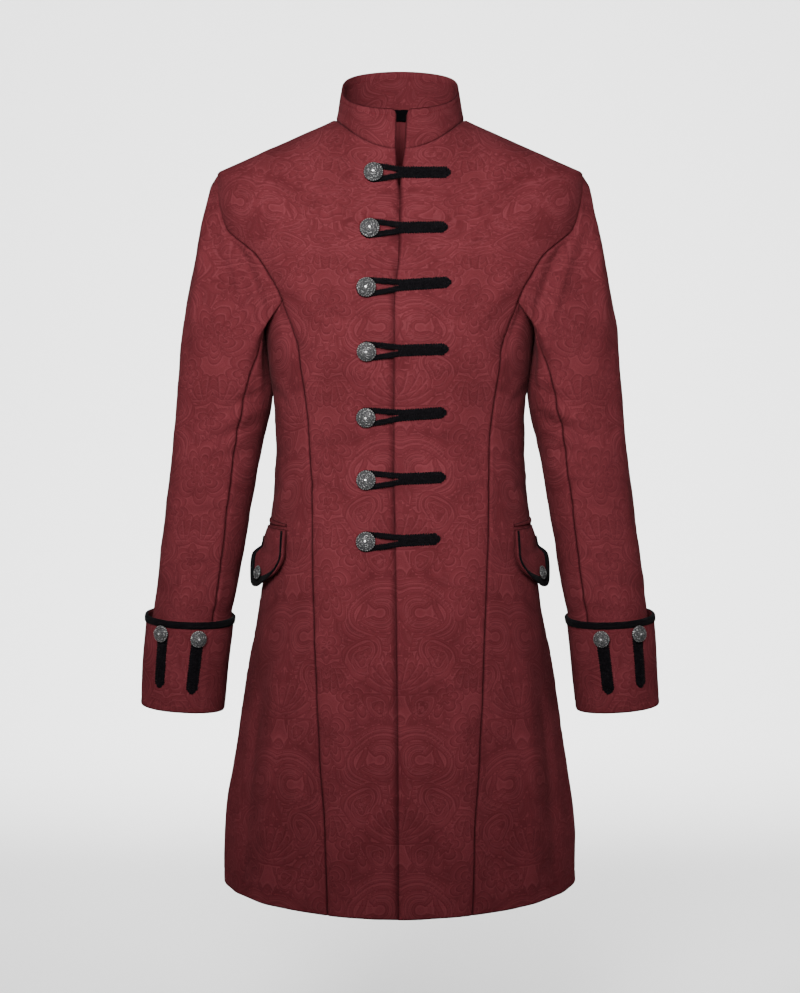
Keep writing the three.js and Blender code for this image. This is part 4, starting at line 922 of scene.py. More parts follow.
def front_seat(x, height):
    x, height = np.broadcast_arrays(np.asarray(x, float), np.asarray(height, float))
    low, high = np.full(x.shape, HEM), np.full(x.shape, NECK)
    for _ in range(26):
        middle = (low + high) / 2
        above = body(theta_at(x, middle), middle)[..., 2] < height
        low, high = np.where(above, middle, low), np.where(above, high, middle)
    return theta_at(x, low), low


# A point on the finished front, with its folds, and the way out of it
def front_surface(x, height, sink=False):
    theta, level = front_seat(x, height)
    point, normal = body(theta, level), body_normal(theta, level)
    lift = body_relief(arc_at(theta, level), level)
    if sink:
        lift = lift - underlap_sink(point)
    return point + normal * lift[..., None], normal


# A panel between two angles: its grid, its normals, and its cloth's distances across and up
def body_panel(side, theta_low, theta_high, levels, seams, underlap=False, pattern_shift=None,
               levels_at=None):
    skirt = np.array(SKIRT_LEVEL)
    shares = spaced(float(np.abs(arc_at(theta_high(skirt), skirt) - arc_at(theta_low(skirt), skirt))))
    level_grid = np.broadcast_to(levels[:, None], (len(levels), len(shares)))
    if levels_at is not None:
        level_grid = levels_at(levels, shares)
    theta = lerp(theta_low(level_grid), theta_high(level_grid), shares[None, :])
    surface = body(theta, level_grid)
    normal = body_normal(theta, level_grid)
    around = arc_at(theta, level_grid)
    relief = body_relief(around * side, level_grid)
    reach = edge_distances(surface)
    for edge, seed in seams.items():
        along = surface[..., 2] if edge in ("first", "last") else around
        relief = relief + (seam_relief(reach[edge], along, seed) if seed else edge_relief(reach[edge]))
    hem = reach["bottom"]
    relief = relief + edge_relief(hem) + stitch_relief(hem - HEM_STITCH, around)
    relief = relief + 0.5 * np.sin(around / 9.0) * np.exp(-hem / 30)
    outer = surface + normal * relief[..., None]
    if underlap:
        outer = outer - normal * underlap_sink(surface * FLIP[side])[..., None]
    up = np.broadcast_to(along_rows(surface)[:, None], around.shape)
    if pattern_shift is not None:
        around = around - around[:, around.shape[1] // 2][:, None] + pattern_shift
    return outer, normal, around, up


def row_levels(top=NECK):
    fine = np.linspace(HEM, top, 1 + 3 * int(round((top - HEM) / CELL / 3)))
    return np.unique(np.concatenate([[HEM, HEM + 0.7, HEM + 1.6], fine[1:-1], [top - 1.6, top - 0.7, top]]))


def thirds(levels):
    extra = (len(levels) - 1) % 3
    if not extra:
        return levels
    widest = np.argsort(np.diff(levels[5:-5]))[::-1][:3 - extra] + 5
    return np.sort(np.concatenate([levels, [(levels[k] + levels[k + 1]) / 2 for k in widest]]))


def front_low(edge, sign):
    def read(level):
        height = ring_at(level)[0]
        return theta_at(sign * edge(height), level)
    return read


def scooped(levels, shares):
    share = shares[None, :]
    top = UNDERARM + (NOTCH - UNDERARM) * (1 - share) ** 2
    rise = (levels[:, None] - HEM) / (NOTCH - HEM)
    return lerp(HEM, top, rise)


whole_rows = thirds(row_levels())
side_rows = thirds(row_levels(NOTCH))


def make_body():
    for side, label, edge in ((1, "left", left_edge), (-1, "right", right_edge)):
        outer, normal, across, up = body_panel(
            side, front_low(edge, side), lambda v: outer_theta(v, False), whole_rows,
            {"first": None, "last": 21 + side, "top": 23}, underlap=side < 0)
        # painted shadow: the right front is darkened just beside the left front's edge, which laps over it
        shade = 0.0
        if side < 0:
            under_edge = outer[..., 0] + left_edge(outer[..., 2])
            shade = 0.75 * np.exp(-((under_edge / 4.5) ** 2))
        piece = shell(f"front_{label}", side, outer, normal, across, up - 243, shade=shade)
        declare(piece, "front")
        for behind, where, shift in ((False, "front", 38.0), (True, "back", -38.0)):
            outer, normal, across, up = body_panel(
                side, lambda v, b=behind: outer_theta(np.minimum(v, NOTCH - 0.01), b),
                lambda v: np.full(np.shape(v), QUARTER), side_rows,
                {"first": 31 + side, "last": 33 + side, "top": 35}, pattern_shift=shift, levels_at=scooped)
            piece = shell(f"side_{where}_{label}", side, outer, normal, across, up - 205)
            declare(piece, "side")
        outer, normal, across, up = body_panel(
            side, lambda v: outer_theta(v, True), lambda v: np.full(np.shape(v), math.pi), whole_rows,
            {"first": 41 + side, "last": 43, "top": 45})
        rows = np.broadcast_to(whole_rows[:, None], across.shape)
        centre_back = arc_at(np.full(across.shape, math.pi), rows)
        piece = shell(f"back_{label}", side, outer, normal, across - centre_back, up - 226)
        declare(piece, "back")


# Sleeves
# A column's angle and level on the armhole's loop: 0 and 24 at the shoulder, 12 under the arm
def loop_place(k):
    k = np.asarray(k, float) % LOOP
    armhole_levels = np.array([row[0] for row in FRONT_ARMHOLE], float)
    down = np.interp(8 - k, np.arange(9), armhole_levels)
    climb = np.interp(k - 16, np.arange(9), armhole_levels)
    ahead = k <= 12
    share = clamp(np.where(ahead, (k - 8) / 4, (16 - k) / 4))
    scoop = UNDERARM + (NOTCH - UNDERARM) * (1 - share) ** 2
    level = np.where(k <= 8, down, np.where(k >= 16, climb, scoop))
    front_edge = outer_theta(np.array(NOTCH - 0.01), False)
    back_edge = outer_theta(np.array(NOTCH - 0.01), True)
    low = np.where(ahead, lerp(front_edge, QUARTER, share), lerp(back_edge, QUARTER, share))
    high_front = outer_theta(np.maximum(level, NOTCH), False)
    high_back = outer_theta(np.maximum(level, NOTCH), True)
    return np.where(k <= 8, high_front, np.where(k >= 16, high_back, low)), level


def tube_point(lines, angle, height):
    outer, inner, half_depth, middle = lines
    turn = np.radians(angle)
    power = 2 / SLEEVE_BEND
    return np.stack([
        (outer + inner) / 2 + (outer - inner) / 2 * signed_power(np.cos(turn), power),
        middle - half_depth * signed_power(np.sin(turn), power),
        height + 0 * turn,
    ], -1)


def edge_height(edge, angle):
    return edge[0] + edge[1] * np.cos(np.radians(angle)) - edge[2] * np.sin(np.radians(angle))


LOOP_K = np.linspace(0, LOOP, LOOP * 20 + 1)
LOOP_POINTS = body(*loop_place(np.minimum(LOOP_K, LOOP - 1e-6)))
_walk = walked(LOOP_POINTS)
_half = np.interp(LOOP / 2, LOOP_K, _walk)
_behind = 180 + 180 * (_walk - _half) / (_walk[-1] - _half)
LOOP_ANGLES = np.where(LOOP_K <= LOOP / 2, 180 * _walk / _half, _behind)


def sleeve_angle(k, share):
    own = np.interp(k, LOOP_K, LOOP_ANGLES)
    front_from = np.interp(FRONT_SEAM["column"], LOOP_K, LOOP_ANGLES)
    back_from = np.interp(BACK_SEAM["column"], LOOP_K, LOOP_ANGLES)
    front_to = lerp(FRONT_SEAM["top"], FRONT_SEAM["wrist"], share)
    back_to = lerp(BACK_SEAM["top"], BACK_SEAM["wrist"], share)
    led = np.where(
        own < front_from, own * front_to / front_from,
        np.where(own < 180, lerp(front_to, 180, (own - front_from) / (180 - front_from)),
                 np.where(own < back_from, lerp(180, back_to, (own - 180) / (back_from - 180)),
                          lerp(back_to, 360, (own - back_from) / (360 - back_from)))))
    return lerp(own, led, smooth(share, 0, 0.3))


SLEEVE_ROUND = 0.95  # millimetres round a sleeve for each degree
SLEEVE_TURN = 342.0
SLEEVE_GIRTH = 345
SLEEVE_ROWS = np.concatenate([[0, 0.0011, 0.0025, 0.0045], np.linspace(0.008, 1, 208)])
SLEEVE_CENTRE = {"upper": (230, -5, 0), "under": (240, -5, 0)}

# Folds of a sleeve: distance round it (0 outside, 85 in front, 171 at the body) and height
SLEEVE_FOLDS = (
    (60, -140, 78, -300, 12, -2.0, -4), (132, -262, 138, -345, 8, 2.4, -2),
    (40, -130, 52, -260, 14, 1.6, -4),
    (92, -352, 150, -330, 7, -2.4, 3),
    (60, -402, 140, -372, 7, -2.2, 4),
    (74, -378, 150, -352, 6, 1.4, 4),
    (30, -432, 128, -408, 8, -1.8, 4),
    (48, -456, 132, -440, 7, 1.3, 4),
    (40, -486, 122, -476, 7, -1.8, 3),
    (20, -520, 100, -512, 8, 1.2, 3),
    (50, -552, 124, -540, 7, -1.4, 3),
    (10, -586, 90, -572, 8, -1.2, 3),
    (60, -602, 130, -590, 7, 1.0, 2),
    (4, -240, 40, -420, 16, 1.6, 6),
    (-10, -300, 14, -520, 14, -1.6, 4),
    (240, -180, 232, -340, 10, 3.2, 5),
    (216, -190, 214, -330, 9, -3.6, 4),
    (200, -380, 280, -410, 8, -2.0, -4),
    (210, -430, 300, -456, 8, 1.5, -4),
    (206, -470, 290, -492, 8, -1.9, -4),
    (214, -540, 300, -556, 8, -1.4, -3),
    (262, -140, 282, -300, 13, -1.6, 4),
    (300, -300, 318, -520, 15, 1.6, 4),
)


def sleeve_grid(first, last, side):
    columns = (last - first) % LOOP
    k = first + spaced(columns / LOOP * SLEEVE_GIRTH) * columns
    theta, level = loop_place(k)
    lift = body_relief(arc_at(theta, level) * side, level) - 1.2
    start = body(theta, level) + body_normal(theta, level) * lift[..., None]
    share = SLEEVE_ROWS[:, None]
    wrapped = k % LOOP
    angle = sleeve_angle(wrapped[None, :], share)
    height = lerp(start[None, :, 2], edge_height(WRIST, angle), share)
    tube = tube_point([curve(height) for curve in SLEEVE_CURVES], angle, height)
    inside = np.where(angle > 180, 360 - angle, angle)
    settled = np.sin(QUARTER * clamp((start[None, :, 2] - height) / sleeve_reach(inside)))
    grid = np.stack([
        lerp(start[None, :, 0], tube[..., 0], settled),
        lerp(start[None, :, 1], tube[..., 1], settled),
        height,
    ], -1)
    return grid, angle, height


# Folds of the sleeve head: distance from the middle of the coat, and height
HEAD_FOLDS = (
    (223, -126, 183, -246, 8, 4.6, -3),
    (207, -144, 165, -250, 8.5, -6.0, -3),
    (183, -250, 176, -330, 8, 2.6, 0),
)


def sleeve_relief(angle, height, side, place):
    around = angle * SLEEVE_ROUND
    shift = 6 * (1 - side) / 2
    turns = (-SLEEVE_TURN, 0, SLEEVE_TURN)
    fold = sum(fold_height(around + turn, height + shift, SLEEVE_FOLDS) for turn in turns)
    broad = value_noise(around + side * 31, height, 60, 51) * 1.2
    broad = broad + value_noise(around * 0.6, height + side * 17, 24, 52) * 0.9
    broad = broad + value_noise(around * 0.5, height + side * 9, 11, 53) * 0.3
    calm = smooth(-height, 60, 130) * (1 - 0.7 * smooth(-height, 620, 700))
    pull = 1 - smooth(-height, 606, 640)
    relief = (FOLD_GAIN * fold * (0.92 + 0.08 * side) + broad) * calm * (0.25 + 0.75 * pull)
    # beside the body the sleeve is calm, and it touches the side under the arm
    inside = smooth(height, -400, -350) * (1 - smooth(height, -275, -255))
    inside = inside * np.exp(-(((angle - 185) / 38) ** 2))
    touch = smooth(height, -350, -325) * (1 - smooth(height, -262, -240))
    touch = 2.3 * touch * np.exp(-(((angle - 182) / 34) ** 2))
    facing = smooth(-place[..., 1], 2, 18) + 0.5 * smooth(place[..., 1], 2, 18)
    head = fold_height(place[..., 0], height, HEAD_FOLDS) * facing
    return relief * (1 - 0.85 * inside) + head + touch


def make_sleeves():
    for side, label in ((1, "left"), (-1, "right")):
        for name, first, last in (("upper", BACK_SEAM["column"], FRONT_SEAM["column"] + LOOP),
                                  ("under", FRONT_SEAM["column"], BACK_SEAM["column"])):
            grid, angle, height = sleeve_grid(first, last, side)
            normal = grid_normals(grid, (grid - SLEEVE_CENTRE[name]) * (1, 1, 0))
            reach = edge_distances(grid)
            around = angle * SLEEVE_ROUND
            relief = sleeve_relief(angle, height, side, grid) * smooth(reach["bottom"], 0, 12)
            relief = relief + seam_relief(reach["first"], height, 61 + side)
            relief = relief + seam_relief(reach["last"], height, 63 + side)
            head = seam_relief(reach["bottom"], around, 65, depth=0.0, pucker=0.6) + 1.2
            relief = relief + head * smooth(reach["bottom"], 0, 5)
            outer = grid + normal * relief[..., None]
            if name == "under":
                around = (angle - 180) * SLEEVE_ROUND
            around = np.where(around > 180, around - SLEEVE_TURN, around)
            piece = shell(f"{name}_sleeve_{label}", side, outer, normal, around + 12, -height + 40)
            declare(piece, name)


# Cuffs
CUFF_HEIGHT = 112.0
CUFF_ROUND = 0.98
CUFF_SEAM = 118.0
CUFF_TURNS = 120


def cuff_point(angle, share):
    height = lerp(edge_height(CUFF_BOTTOM, angle), edge_height(CUFF_TOP, angle), share)
    return tube_point([curve(share) for curve in CUFF_CURVES], angle, height)


def cuff_normal(angle, share):
    around = cuff_point(angle + 1, share) - cuff_point(angle - 1, share)
    up = cuff_point(angle, share + 0.01) - cuff_point(angle, share - 0.01)
    normal = np.cross(around, up)
    normal /= np.linalg.norm(normal, axis=-1, keepdims=True)
    centre = (cuff_point(0 * angle, share) + cuff_point(0 * angle + 180, share)) / 2
    sign = np.sign(((cuff_point(angle, share) - centre) * normal).sum(-1, keepdims=True))
    return normal * sign


def cuff_relief(angle, share, side):
    around, height = angle * CUFF_ROUND, share * CUFF_HEIGHT
    away = np.abs((angle - CUFF_SEAM + 180) % 360 - 180) * CUFF_ROUND
    relief = value_noise(around + 40 * side, height, 46, 71) * 0.7
    relief = relief + value_noise(around, height, 18, 72) * 0.22
    return relief + seam_relief(away, height, 73, depth=1.0, width=1.5, pucker=0.2)


def cuff_surface(angle, share, side=1):
    angle, share = np.broadcast_arrays(np.asarray(angle, float), np.asarray(share, float))
    normal = cuff_normal(angle, share)
    return cuff_point(angle, share) + normal * cuff_relief(angle, share, side)[..., None], normal


def make_cuffs():
    angle, share = np.meshgrid(np.linspace(0, 360, CUFF_TURNS + 1), spaced(CUFF_HEIGHT))
    low, high = share * CUFF_HEIGHT, (1 - share) * CUFF_HEIGHT
    relief = edge_relief(low, 0.8) + edge_relief(high, 0.4) + stitch_relief(low - RIM_STITCH, angle)
    for side, label in ((1, "left"), (-1, "right")):
        outer, normal = cuff_surface(angle, share, side)
        outer = outer + normal * relief[..., None]
        outer[:, -1] = outer[:, 0]
        normal[:, -1] = normal[:, 0]
        piece = shell(f"cuff_{label}", side, outer, normal, angle * 0.95 + 20, low + 30, closed=True)
        declare(piece, "cuff")
        make_binding(side, label, angle[0, :-1])


# The binding's section: how far above the cuff's rim, and how far out of the cuff
def make_binding(side, label, angle):
    width, thick = 7.6, 1.2
    section = (
        (-width, LIFT), (-width, LIFT + thick * 0.8), (-width * 0.6, LIFT + thick * 1.25),
        (-width * 0.25, LIFT + thick * 1.3), (-0.4, LIFT + thick * 1.15), (0.6, LIFT + 0.5),
        (0.9, -0.6), (0.8, -CLOTH), (0.35, -CLOTH), (0.35, LIFT), (-0.2, LIFT),
    )
    rows = []
    for rise, out in section:
        base, normal = cuff_surface(angle, 1 + min(rise, 0) / CUFF_HEIGHT, side)
        rough = 0.16 if out > LIFT + 0.3 else 0.0
        out = out + rough * value_noise(angle * 1.6, angle * 0 + rise, 6, 81)
        rows.append(base + normal * out[..., None] + (0, 0, max(rise, 0)))
    faces = ring_faces(len(section), len(angle), looped=True)
    if side < 0:
        faces = [face[::-1] for face in faces]
    points = np.array(rows).reshape(-1, 3) * FLIP[side]
    new_object(f"cuff_binding_{label}", points, faces, BRAID)


# Collar
COLLAR_HEIGHT = 58.0
COLLAR_SINK = 2.0
COLLAR_CORNER = 7.0


def rim_point(theta):
    sine, cosine = np.sin(theta), np.cos(theta)
    depth = np.where(cosine > 0, -COLLAR_RIM["front_depth"], COLLAR_RIM["back_depth"])
    centre = np.where(cosine > 0, COLLAR_RIM["front"], COLLAR_RIM["back"])
    side = COLLAR_RIM["side"]
    return np.stack([
        COLLAR_RIM["half_width"] * sine,
        depth * np.abs(cosine),
        side + (centre - side) * np.abs(cosine) ** COLLAR_RIM["rise"],
    ], -1)


def collar_frame():
    start_right = float(theta_at(-right_edge(-42.0), NECK))
    start_left = float(theta_at(left_edge(-42.0), NECK))
    turn = np.linspace(-start_right, -math.tau + start_left, 181)
    theta = (turn + math.pi) % math.tau - math.pi
    base = body(theta, NECK)
    rim = rim_point(theta)
    on_right = np.arange(len(theta)) < len(theta) / 2
    edge = np.where(on_right, COLLAR_EDGE["right"], COLLAR_EDGE["left"])
    first = np.where(on_right, base[0, 0], base[-1, 0])
    near = 1 - smooth(np.abs(rim[:, 0]), np.abs(first), 30)
    rim[:, 0] += np.where(np.cos(theta) > 0, (edge - first) * near, 0)
    return base, rim


def make_collar():
    base, rim = collar_frame()
    share = spaced(COLLAR_HEIGHT, 2.6)[:, None]
    base[:, 2] -= COLLAR_SINK
    grid = lerp(base[None], rim[None], share[..., None])
    from_first = np.linalg.norm(grid - grid[:, :1], axis=-1)
    from_last = np.linalg.norm(grid - grid[:, -1:], axis=-1)
    corner = np.maximum(0, COLLAR_CORNER - np.minimum(from_first, from_last))
    drop = COLLAR_CORNER - np.sqrt(COLLAR_CORNER ** 2 - corner ** 2)
    grid[..., 2] -= drop * smooth(share, 0.5, 1)
    normal = grid_normals(grid, grid * (1, 1, 0))
    reach = edge_distances(grid)
    around, top = reach["first"], reach["top"]
    relief = value_noise(around, share * COLLAR_HEIGHT, 42, 91) * 0.8 * smooth(reach["bottom"], 0, 14)
    relief = relief + edge_relief(top, 0.9, 1.0) + stitch_relief(top - RIM_STITCH, around)
    relief = relief + seam_relief(reach["bottom"], around, 92, depth=0.9)
    for end in ("first", "last"):
        relief = relief + edge_relief(reach[end], 0.7, 1) + stitch_relief(reach[end] - EDGE_STITCH, top)
    outer = grid + normal * relief[..., None]
    rounding = 1 - 0.55 * np.exp(-(top / 1.2) ** 2)
    piece = shell("collar", 1, outer, normal, around - around.max() / 2,
                  share * COLLAR_HEIGHT + 0 * around + 60, thickness=COLLAR_CLOTH * rounding, stride=1)
    declare(piece, "collar")
    return outer, normal


# Pocket flaps
FLAP_TOP = {"level": -504.5, "front_x": 138, "end_angle": 90}
FLAP_ROWS = (
    ((140.5, -79, -519.5), (161.6, -45, -518.5), (169, 1, -516.5)),
    ((141, -83, -532.5), (162.4, -48, -531.5), (171.8, -3, -528.5)),
    ((143, -84, -541), (164.6, -49, -540), (184.2, -8, -539)),
    ((150, -80, -553), (168.4, -47, -554), (185.8, -12, -553)),
    ((165, -60, -566.5), (175.6, -38, -566.5), (185.4, -16, -565.5)),
    ((179.5, -30, -575.5), (182.4, -24, -576.5), (185, -19, -576.5)),
)


def flap_grid(rows=40, columns=46):
    level = FLAP_TOP["level"]
    start, end = float(theta_at(FLAP_TOP["front_x"], level)), math.radians(FLAP_TOP["end_angle"])
    theta = np.array([start, (start + end) / 2, end])
    top = body(theta, level) + body_normal(theta, level) * (LIFT + CLOTH)
    knots = np.concatenate([top[None], np.array(FLAP_ROWS)])
    where = np.arange(len(knots))
    at = np.linspace(0, len(knots) - 1, rows)
    lines = np.zeros((rows, 3, 3))
    for p in range(3):
        for c in range(3):
            lines[:, p, c] = curve_through(list(zip(where, knots[:, p, c])))(at)
    s = np.linspace(0, 1, columns)[None, :, None]
    front, middle, rear = lines[:, 0:1], lines[:, 1:2], lines[:, 2:3]
    control = 2 * middle - (front + rear) / 2
    grid = (1 - s) ** 2 * front + 2 * s * (1 - s) * control + s * s * rear
    return grid, grid_normals(grid, np.array((1, 0, 0)))


def make_flaps():
    grid, normal = flap_grid()
    reach = edge_distances(grid)
    for side, label in ((1, "left"), (-1, "right")):
        relief = sum(edge_relief(reach[edge], 0.7, 1.0) for edge in ("first", "last", "top"))
        relief = relief + value_noise(reach["first"], reach["bottom"], 22, 95 + side) * 0.5
        outer = grid + normal * relief[..., None]
        piece = shell(f"flap_{label}", side, outer, normal, reach["first"] + 30, -reach["bottom"])
        declare(piece, "flap")
        make_flap_trim(grid, normal, side, label)
        make_welt(side, label)


# Where the trim lies in from the front and rear edges, and the rows that its rear end leaves bare
TRIM = {"front": 6.0, "rear": 7.0, "bare_rows": 6, "narrow": 3.4, "wide": 13.0}


def make_flap_trim(grid, normal, side, label):
    rows, columns = grid.shape[:2]
    widths = np.linalg.norm(grid[:, -1] - grid[:, 0], axis=-1)
    last = rows - 3
    picks = [(i, min(TRIM["front"] / widths[i], 0.46)) for i in range(1, last)]
    picks += [(last, 0.5)]
    picks += [(i, 1 - min(TRIM["rear"] / widths[i], 0.46)) for i in range(last - 1, TRIM["bare_rows"], -1)]
    path, ways = [], []
    for i, share in picks:
        column = share * (columns - 1)
        j = min(int(column), columns - 2)
        path.append(lerp(grid[i, j], grid[i, j + 1], column - j))
        ways.append(normal[i, j])
    path = np.array(path)
    for _ in range(3):
        path[1:-9] = (path[:-10] + 2 * path[1:-9] + path[2:-8]) / 4
    across = np.cross(np.gradient(path, axis=0), np.array(ways))
    across /= np.linalg.norm(across, axis=-1, keepdims=True)
    half = len(path) // 2
    wide = lerp(TRIM["narrow"], TRIM["wide"], smooth(np.arange(len(path)) / half, 0.72, 1.15))
    share = np.linspace(-1, 1, 7)
    crown = 0.5 + 1.3 * np.sqrt(np.maximum(0.0, 1 - share * share * 0.9))
    section = [*zip(share, crown), *zip(share[::-1], np.full(7, 0.4))]
    points = [p + a * (u * w / 2) + n * out
              for p, n, a, w in zip(path, ways, across, wide) for u, out in section]
    ring = len(section)
    end = len(points) - ring
    faces = ring_faces(len(path), ring)
    faces += [tuple(range(ring - 1, -1, -1)), tuple(range(end, end + ring))]
    if side > 0:
        faces = [face[::-1] for face in faces]
    new_object(f"flap_trim_{label}", np.array(points) * FLIP[side], faces, BRAID)


def make_welt(side, label):
    low = -501.5
    shares = np.linspace(0, 1, 40)
    theta = lerp(float(theta_at(FLAP_TOP["front_x"], low)), math.radians(86), shares)
    rows = []
    for part in np.linspace(0, 1, 7):
        level = low + 8 * part * lerp(0.45, 1, shares)
        lift = LIFT + 1.4 * math.sin(math.pi * part) ** 0.5
        relief = body_relief(arc_at(theta, level) * side, level)
        rows.append(body(theta, level) + body_normal(theta, level) * (lift + relief)[..., None])
    grid = np.array(rows)
    normal = grid_normals(grid, np.array((1, 0, 0)))
    reach = edge_distances(grid)
    piece = shell(f"flap_welt_{label}", side, grid, normal, reach["first"] + 12, reach["bottom"],
                  thickness=0.5)
    declare(piece, "welt")


# Buttons: a dome of raised wire scrolls and beads over dark hollows
def filigree(radius, angle):
    spiral = 1 - 2.3 * np.abs(np.sin(angle * 3.5 + 7.5 * radius + 0.6 * np.sin(angle * 5)))
    rings = 1 - 1.9 * np.abs(np.sin(9.5 * radius + 0.9 * np.cos(angle * 7)))
    curls = 1 - 2.2 * np.abs(np.sin(angle * 4.5 - 9 * radius))
    return clamp(np.maximum.reduce([spiral, rings, curls]))


def make_button(node, radius, shank, seat, normal, turn):
    rings, turns = 26, 84
    up = np.array(normal, float) / np.linalg.norm(normal)
    side = np.cross(up, (0.13, 0, 1))
    side /= np.linalg.norm(side)
    angles = np.arange(turns) * math.tau / turns
    spokes = np.outer(np.cos(angles), side) + np.outer(np.sin(angles), np.cross(up, side))
    points, cavity = [], []

    def add_ring(share, height, hollow):
        points.extend(seat + spokes * (radius * share) + np.outer(height, up))
        cavity.extend((value, 0, 0) for value in hollow)

    for i in range(rings + 1):
        share = i / rings
        dome = 5.0 * radius / BUTTON_RADIUS * (1 - share ** 2.3) + 0.9
        raised = filigree(share * 1.02, angles + turn)
        if share < 0.14:
            raised = np.full(turns, 0.9)
        if share > 0.9:
            raised = 0.55 + 0.45 * np.cos(angles * 26)
        add_ring(share, shank + dome + raised * 0.95 - 0.6, raised)
    for share, height in ((0.97, shank + 0.3), (0.86, shank), (0.3, shank), (0.3, 0.0)):
        add_ring(share, np.full(turns, height), np.full(turns, 0.35))
    rows = rings + 5
    faces = ring_faces(rows, turns, first=1)
    faces += [(0, turns + k, turns + (k + 1) % turns) for k in range(turns)]
    faces.append(tuple(range((rows - 1) * turns, rows * turns)))
    piece = new_object(node, points, faces, METAL, {"cavity": ("POINT", cavity)})
    clean(piece)


# Frogs: the button's centre, the tab's far end and how far it climbs
FROGS = (
    (-31.2, -72.4, 60.5, 0), (-36.3, -140.2, 57.3, 2), (-40, -211.3, 61, 6.6),
    (-39.4, -287.5, 57.4, 2.8), (-40.4, -366.9, 55.6, 5.9), (-40.4, -442, 54.6, 3.6),
    (-40.4, -514.6, 47.8, 3.4),
)
FROG_SPLIT = -3.0
TAB_HALF = 6.9
STRAND_HALF = 3.4
BUTTON_RADIUS = 11.6


# One braided strand: a centre line in the flat, its half width, and a herringbone over its back
def braid_strip(path, half, place, thick=2.3, pitch=3.0, seed=0, pointed=False, cell=0.75):
    path = np.array(path, float)
    along = walked(path)
    total = along[-1]
    count = int(total / cell)
    at = np.linspace(0, total, count + 1)
    x, y = np.interp(at, along, path[:, 0]), np.interp(at, along, path[:, 1])
    dx, dy = np.gradient(x), np.gradient(y)
    size = np.hypot(dx, dy)
    nx, ny = -dy / size, dx / size
    rng = np.random.default_rng(seed)
    sections = 13
    points = []
    jag = rng.uniform(-0.35, 0.35, (count + 1, 2))
    for k in range(count + 1):
        wide = half
        if pointed:
            wide = half * min(1.0, (0.34 + (total - at[k]) / 8.5))
        for s in range(sections):
            u = 2 * s / (sections - 1) - 1
            tooth = 0.55 * math.cos(math.tau * at[k] / pitch) * abs(u) ** 3
            jagged = jag[k, 0 if u < 0 else 1] * abs(u) ** 4
            off = u * (wide + tooth + jagged)
            chevron = 0.34 * math.cos(math.tau * (at[k] / pitch - abs(u) * 1.1))
            groove = -0.5 * math.exp(-((u / 0.12) ** 2))
            groove -= 0.25 * math.exp(-(((abs(u) - 0.55) / 0.1) ** 2))
            dome = thick * (1 - abs(u) ** 3.2 * 0.75)
            height = LIFT + max(0.25, dome + chevron + groove)
            points.append((x[k] + nx[k] * off, y[k] + ny[k] * off, height))
    top = np.array(points)
    flat = top.copy()
    flat[:, 2] = LIFT
    outline = place(np.concatenate([top, flat]))
    faces = []
    base = len(top)
    rows = count + 1
    for k in range(rows - 1):
        for s in range(sections - 1):
            a, b = k * sections + s, (k + 1) * sections + s
            faces.append((a, b, b + 1, a + 1))
            faces.append((base + a, base + a + 1, base + b + 1, base + b))
        for s, way in ((0, 1), (sections - 1, -1)):
            a, b = k * sections + s, (k + 1) * sections + s
            face = (a, base + a, base + b, b)
            faces.append(face if way > 0 else face[::-1])
    for k, way in ((0, 1), (rows - 1, -1)):
        ring = [k * sections + s for s in range(sections)]
        ring += [base + k * sections + s for s in range(sections - 1, -1, -1)]
        faces.append(tuple(ring if way > 0 else ring[::-1]))
    return outline, faces, top


# Loose fibres: thin three-sided spikes that start on a braid's surface
def fibres(top, place, count, seed, reach=1.9):
    rng = np.random.default_rng(seed)
    points, faces = [], []
    for _ in range(count):
        base = top[rng.integers(len(top))]
        angle = rng.uniform(0, math.tau)
        length = rng.uniform(0.5, 1.0) * reach
        rise = rng.uniform(-0.3, 0.5)
        tip = base + np.array((math.cos(angle) * length, math.sin(angle) * length, rise))
        wide = np.array((-math.sin(angle), math.cos(angle), 0)) * 0.09
        a = len(points)
        points += [base - wide, base + wide, tip, base + np.array((0, 0, -0.15))]
        faces += [(a, a + 1, a + 2), (a + 1, a + 3, a + 2), (a + 3, a, a + 2), (a, a + 3, a + 1)]
    return place(np.array(points)), faces


def make_frogs():
    for number, (x, height, end, climb) in enumerate(FROGS, 1):
        slope = climb / (end - x)

        def place(flat, x=x, height=height, slope=slope):
            point, normal = front_surface(flat[:, 0], height + flat[:, 1] + (flat[:, 0] - x) * slope)
            return point + normal * flat[:, 2:3]

        tab = [(FROG_SPLIT + 1, 0), (end, 0)]
        radius = BUTTON_RADIUS - 3.0
        share = np.linspace(0, 1, 14)
        upper = [(lerp(FROG_SPLIT + 2, x + 1, s), lerp(3.5, radius, s ** 0.85)) for s in share]
        turn = [(x + radius * math.cos(a), radius * math.sin(a))
                for a in np.linspace(QUARTER, 3 * QUARTER, 22)]
        loop = upper + turn[1:] + [(px, -py) for px, py in upper[::-1]][1:]
        strips = (
            braid_strip(tab, TAB_HALF, place, seed=number * 7, pointed=True),
            braid_strip(loop, STRAND_HALF, place, thick=2.0, pitch=2.6, seed=number * 7 + 1),
        )
        hairs = [fibres(strip[2], place, count, number * 13 + k)
                 for k, (strip, count) in enumerate(zip(strips, (420, 260)))]
        points, faces = joined([strip[:2] for strip in strips] + hairs)
        piece = new_object(f"frog_{number}", points, faces, BRAID)
        clean(piece)
        seat, normal = front_surface(np.array([x]), np.array([height]), sink=True)
        make_button(f"front_button_{number}", BUTTON_RADIUS, 3.4, seat[0], normal[0], number * 0.7)


# Cuff tabs: angle and share of the cuff's height at the button, then at the point
CUFF_TABS = (((62, 0.86), (62, 0.26)), ((106, 0.83), (104, 0.22)))


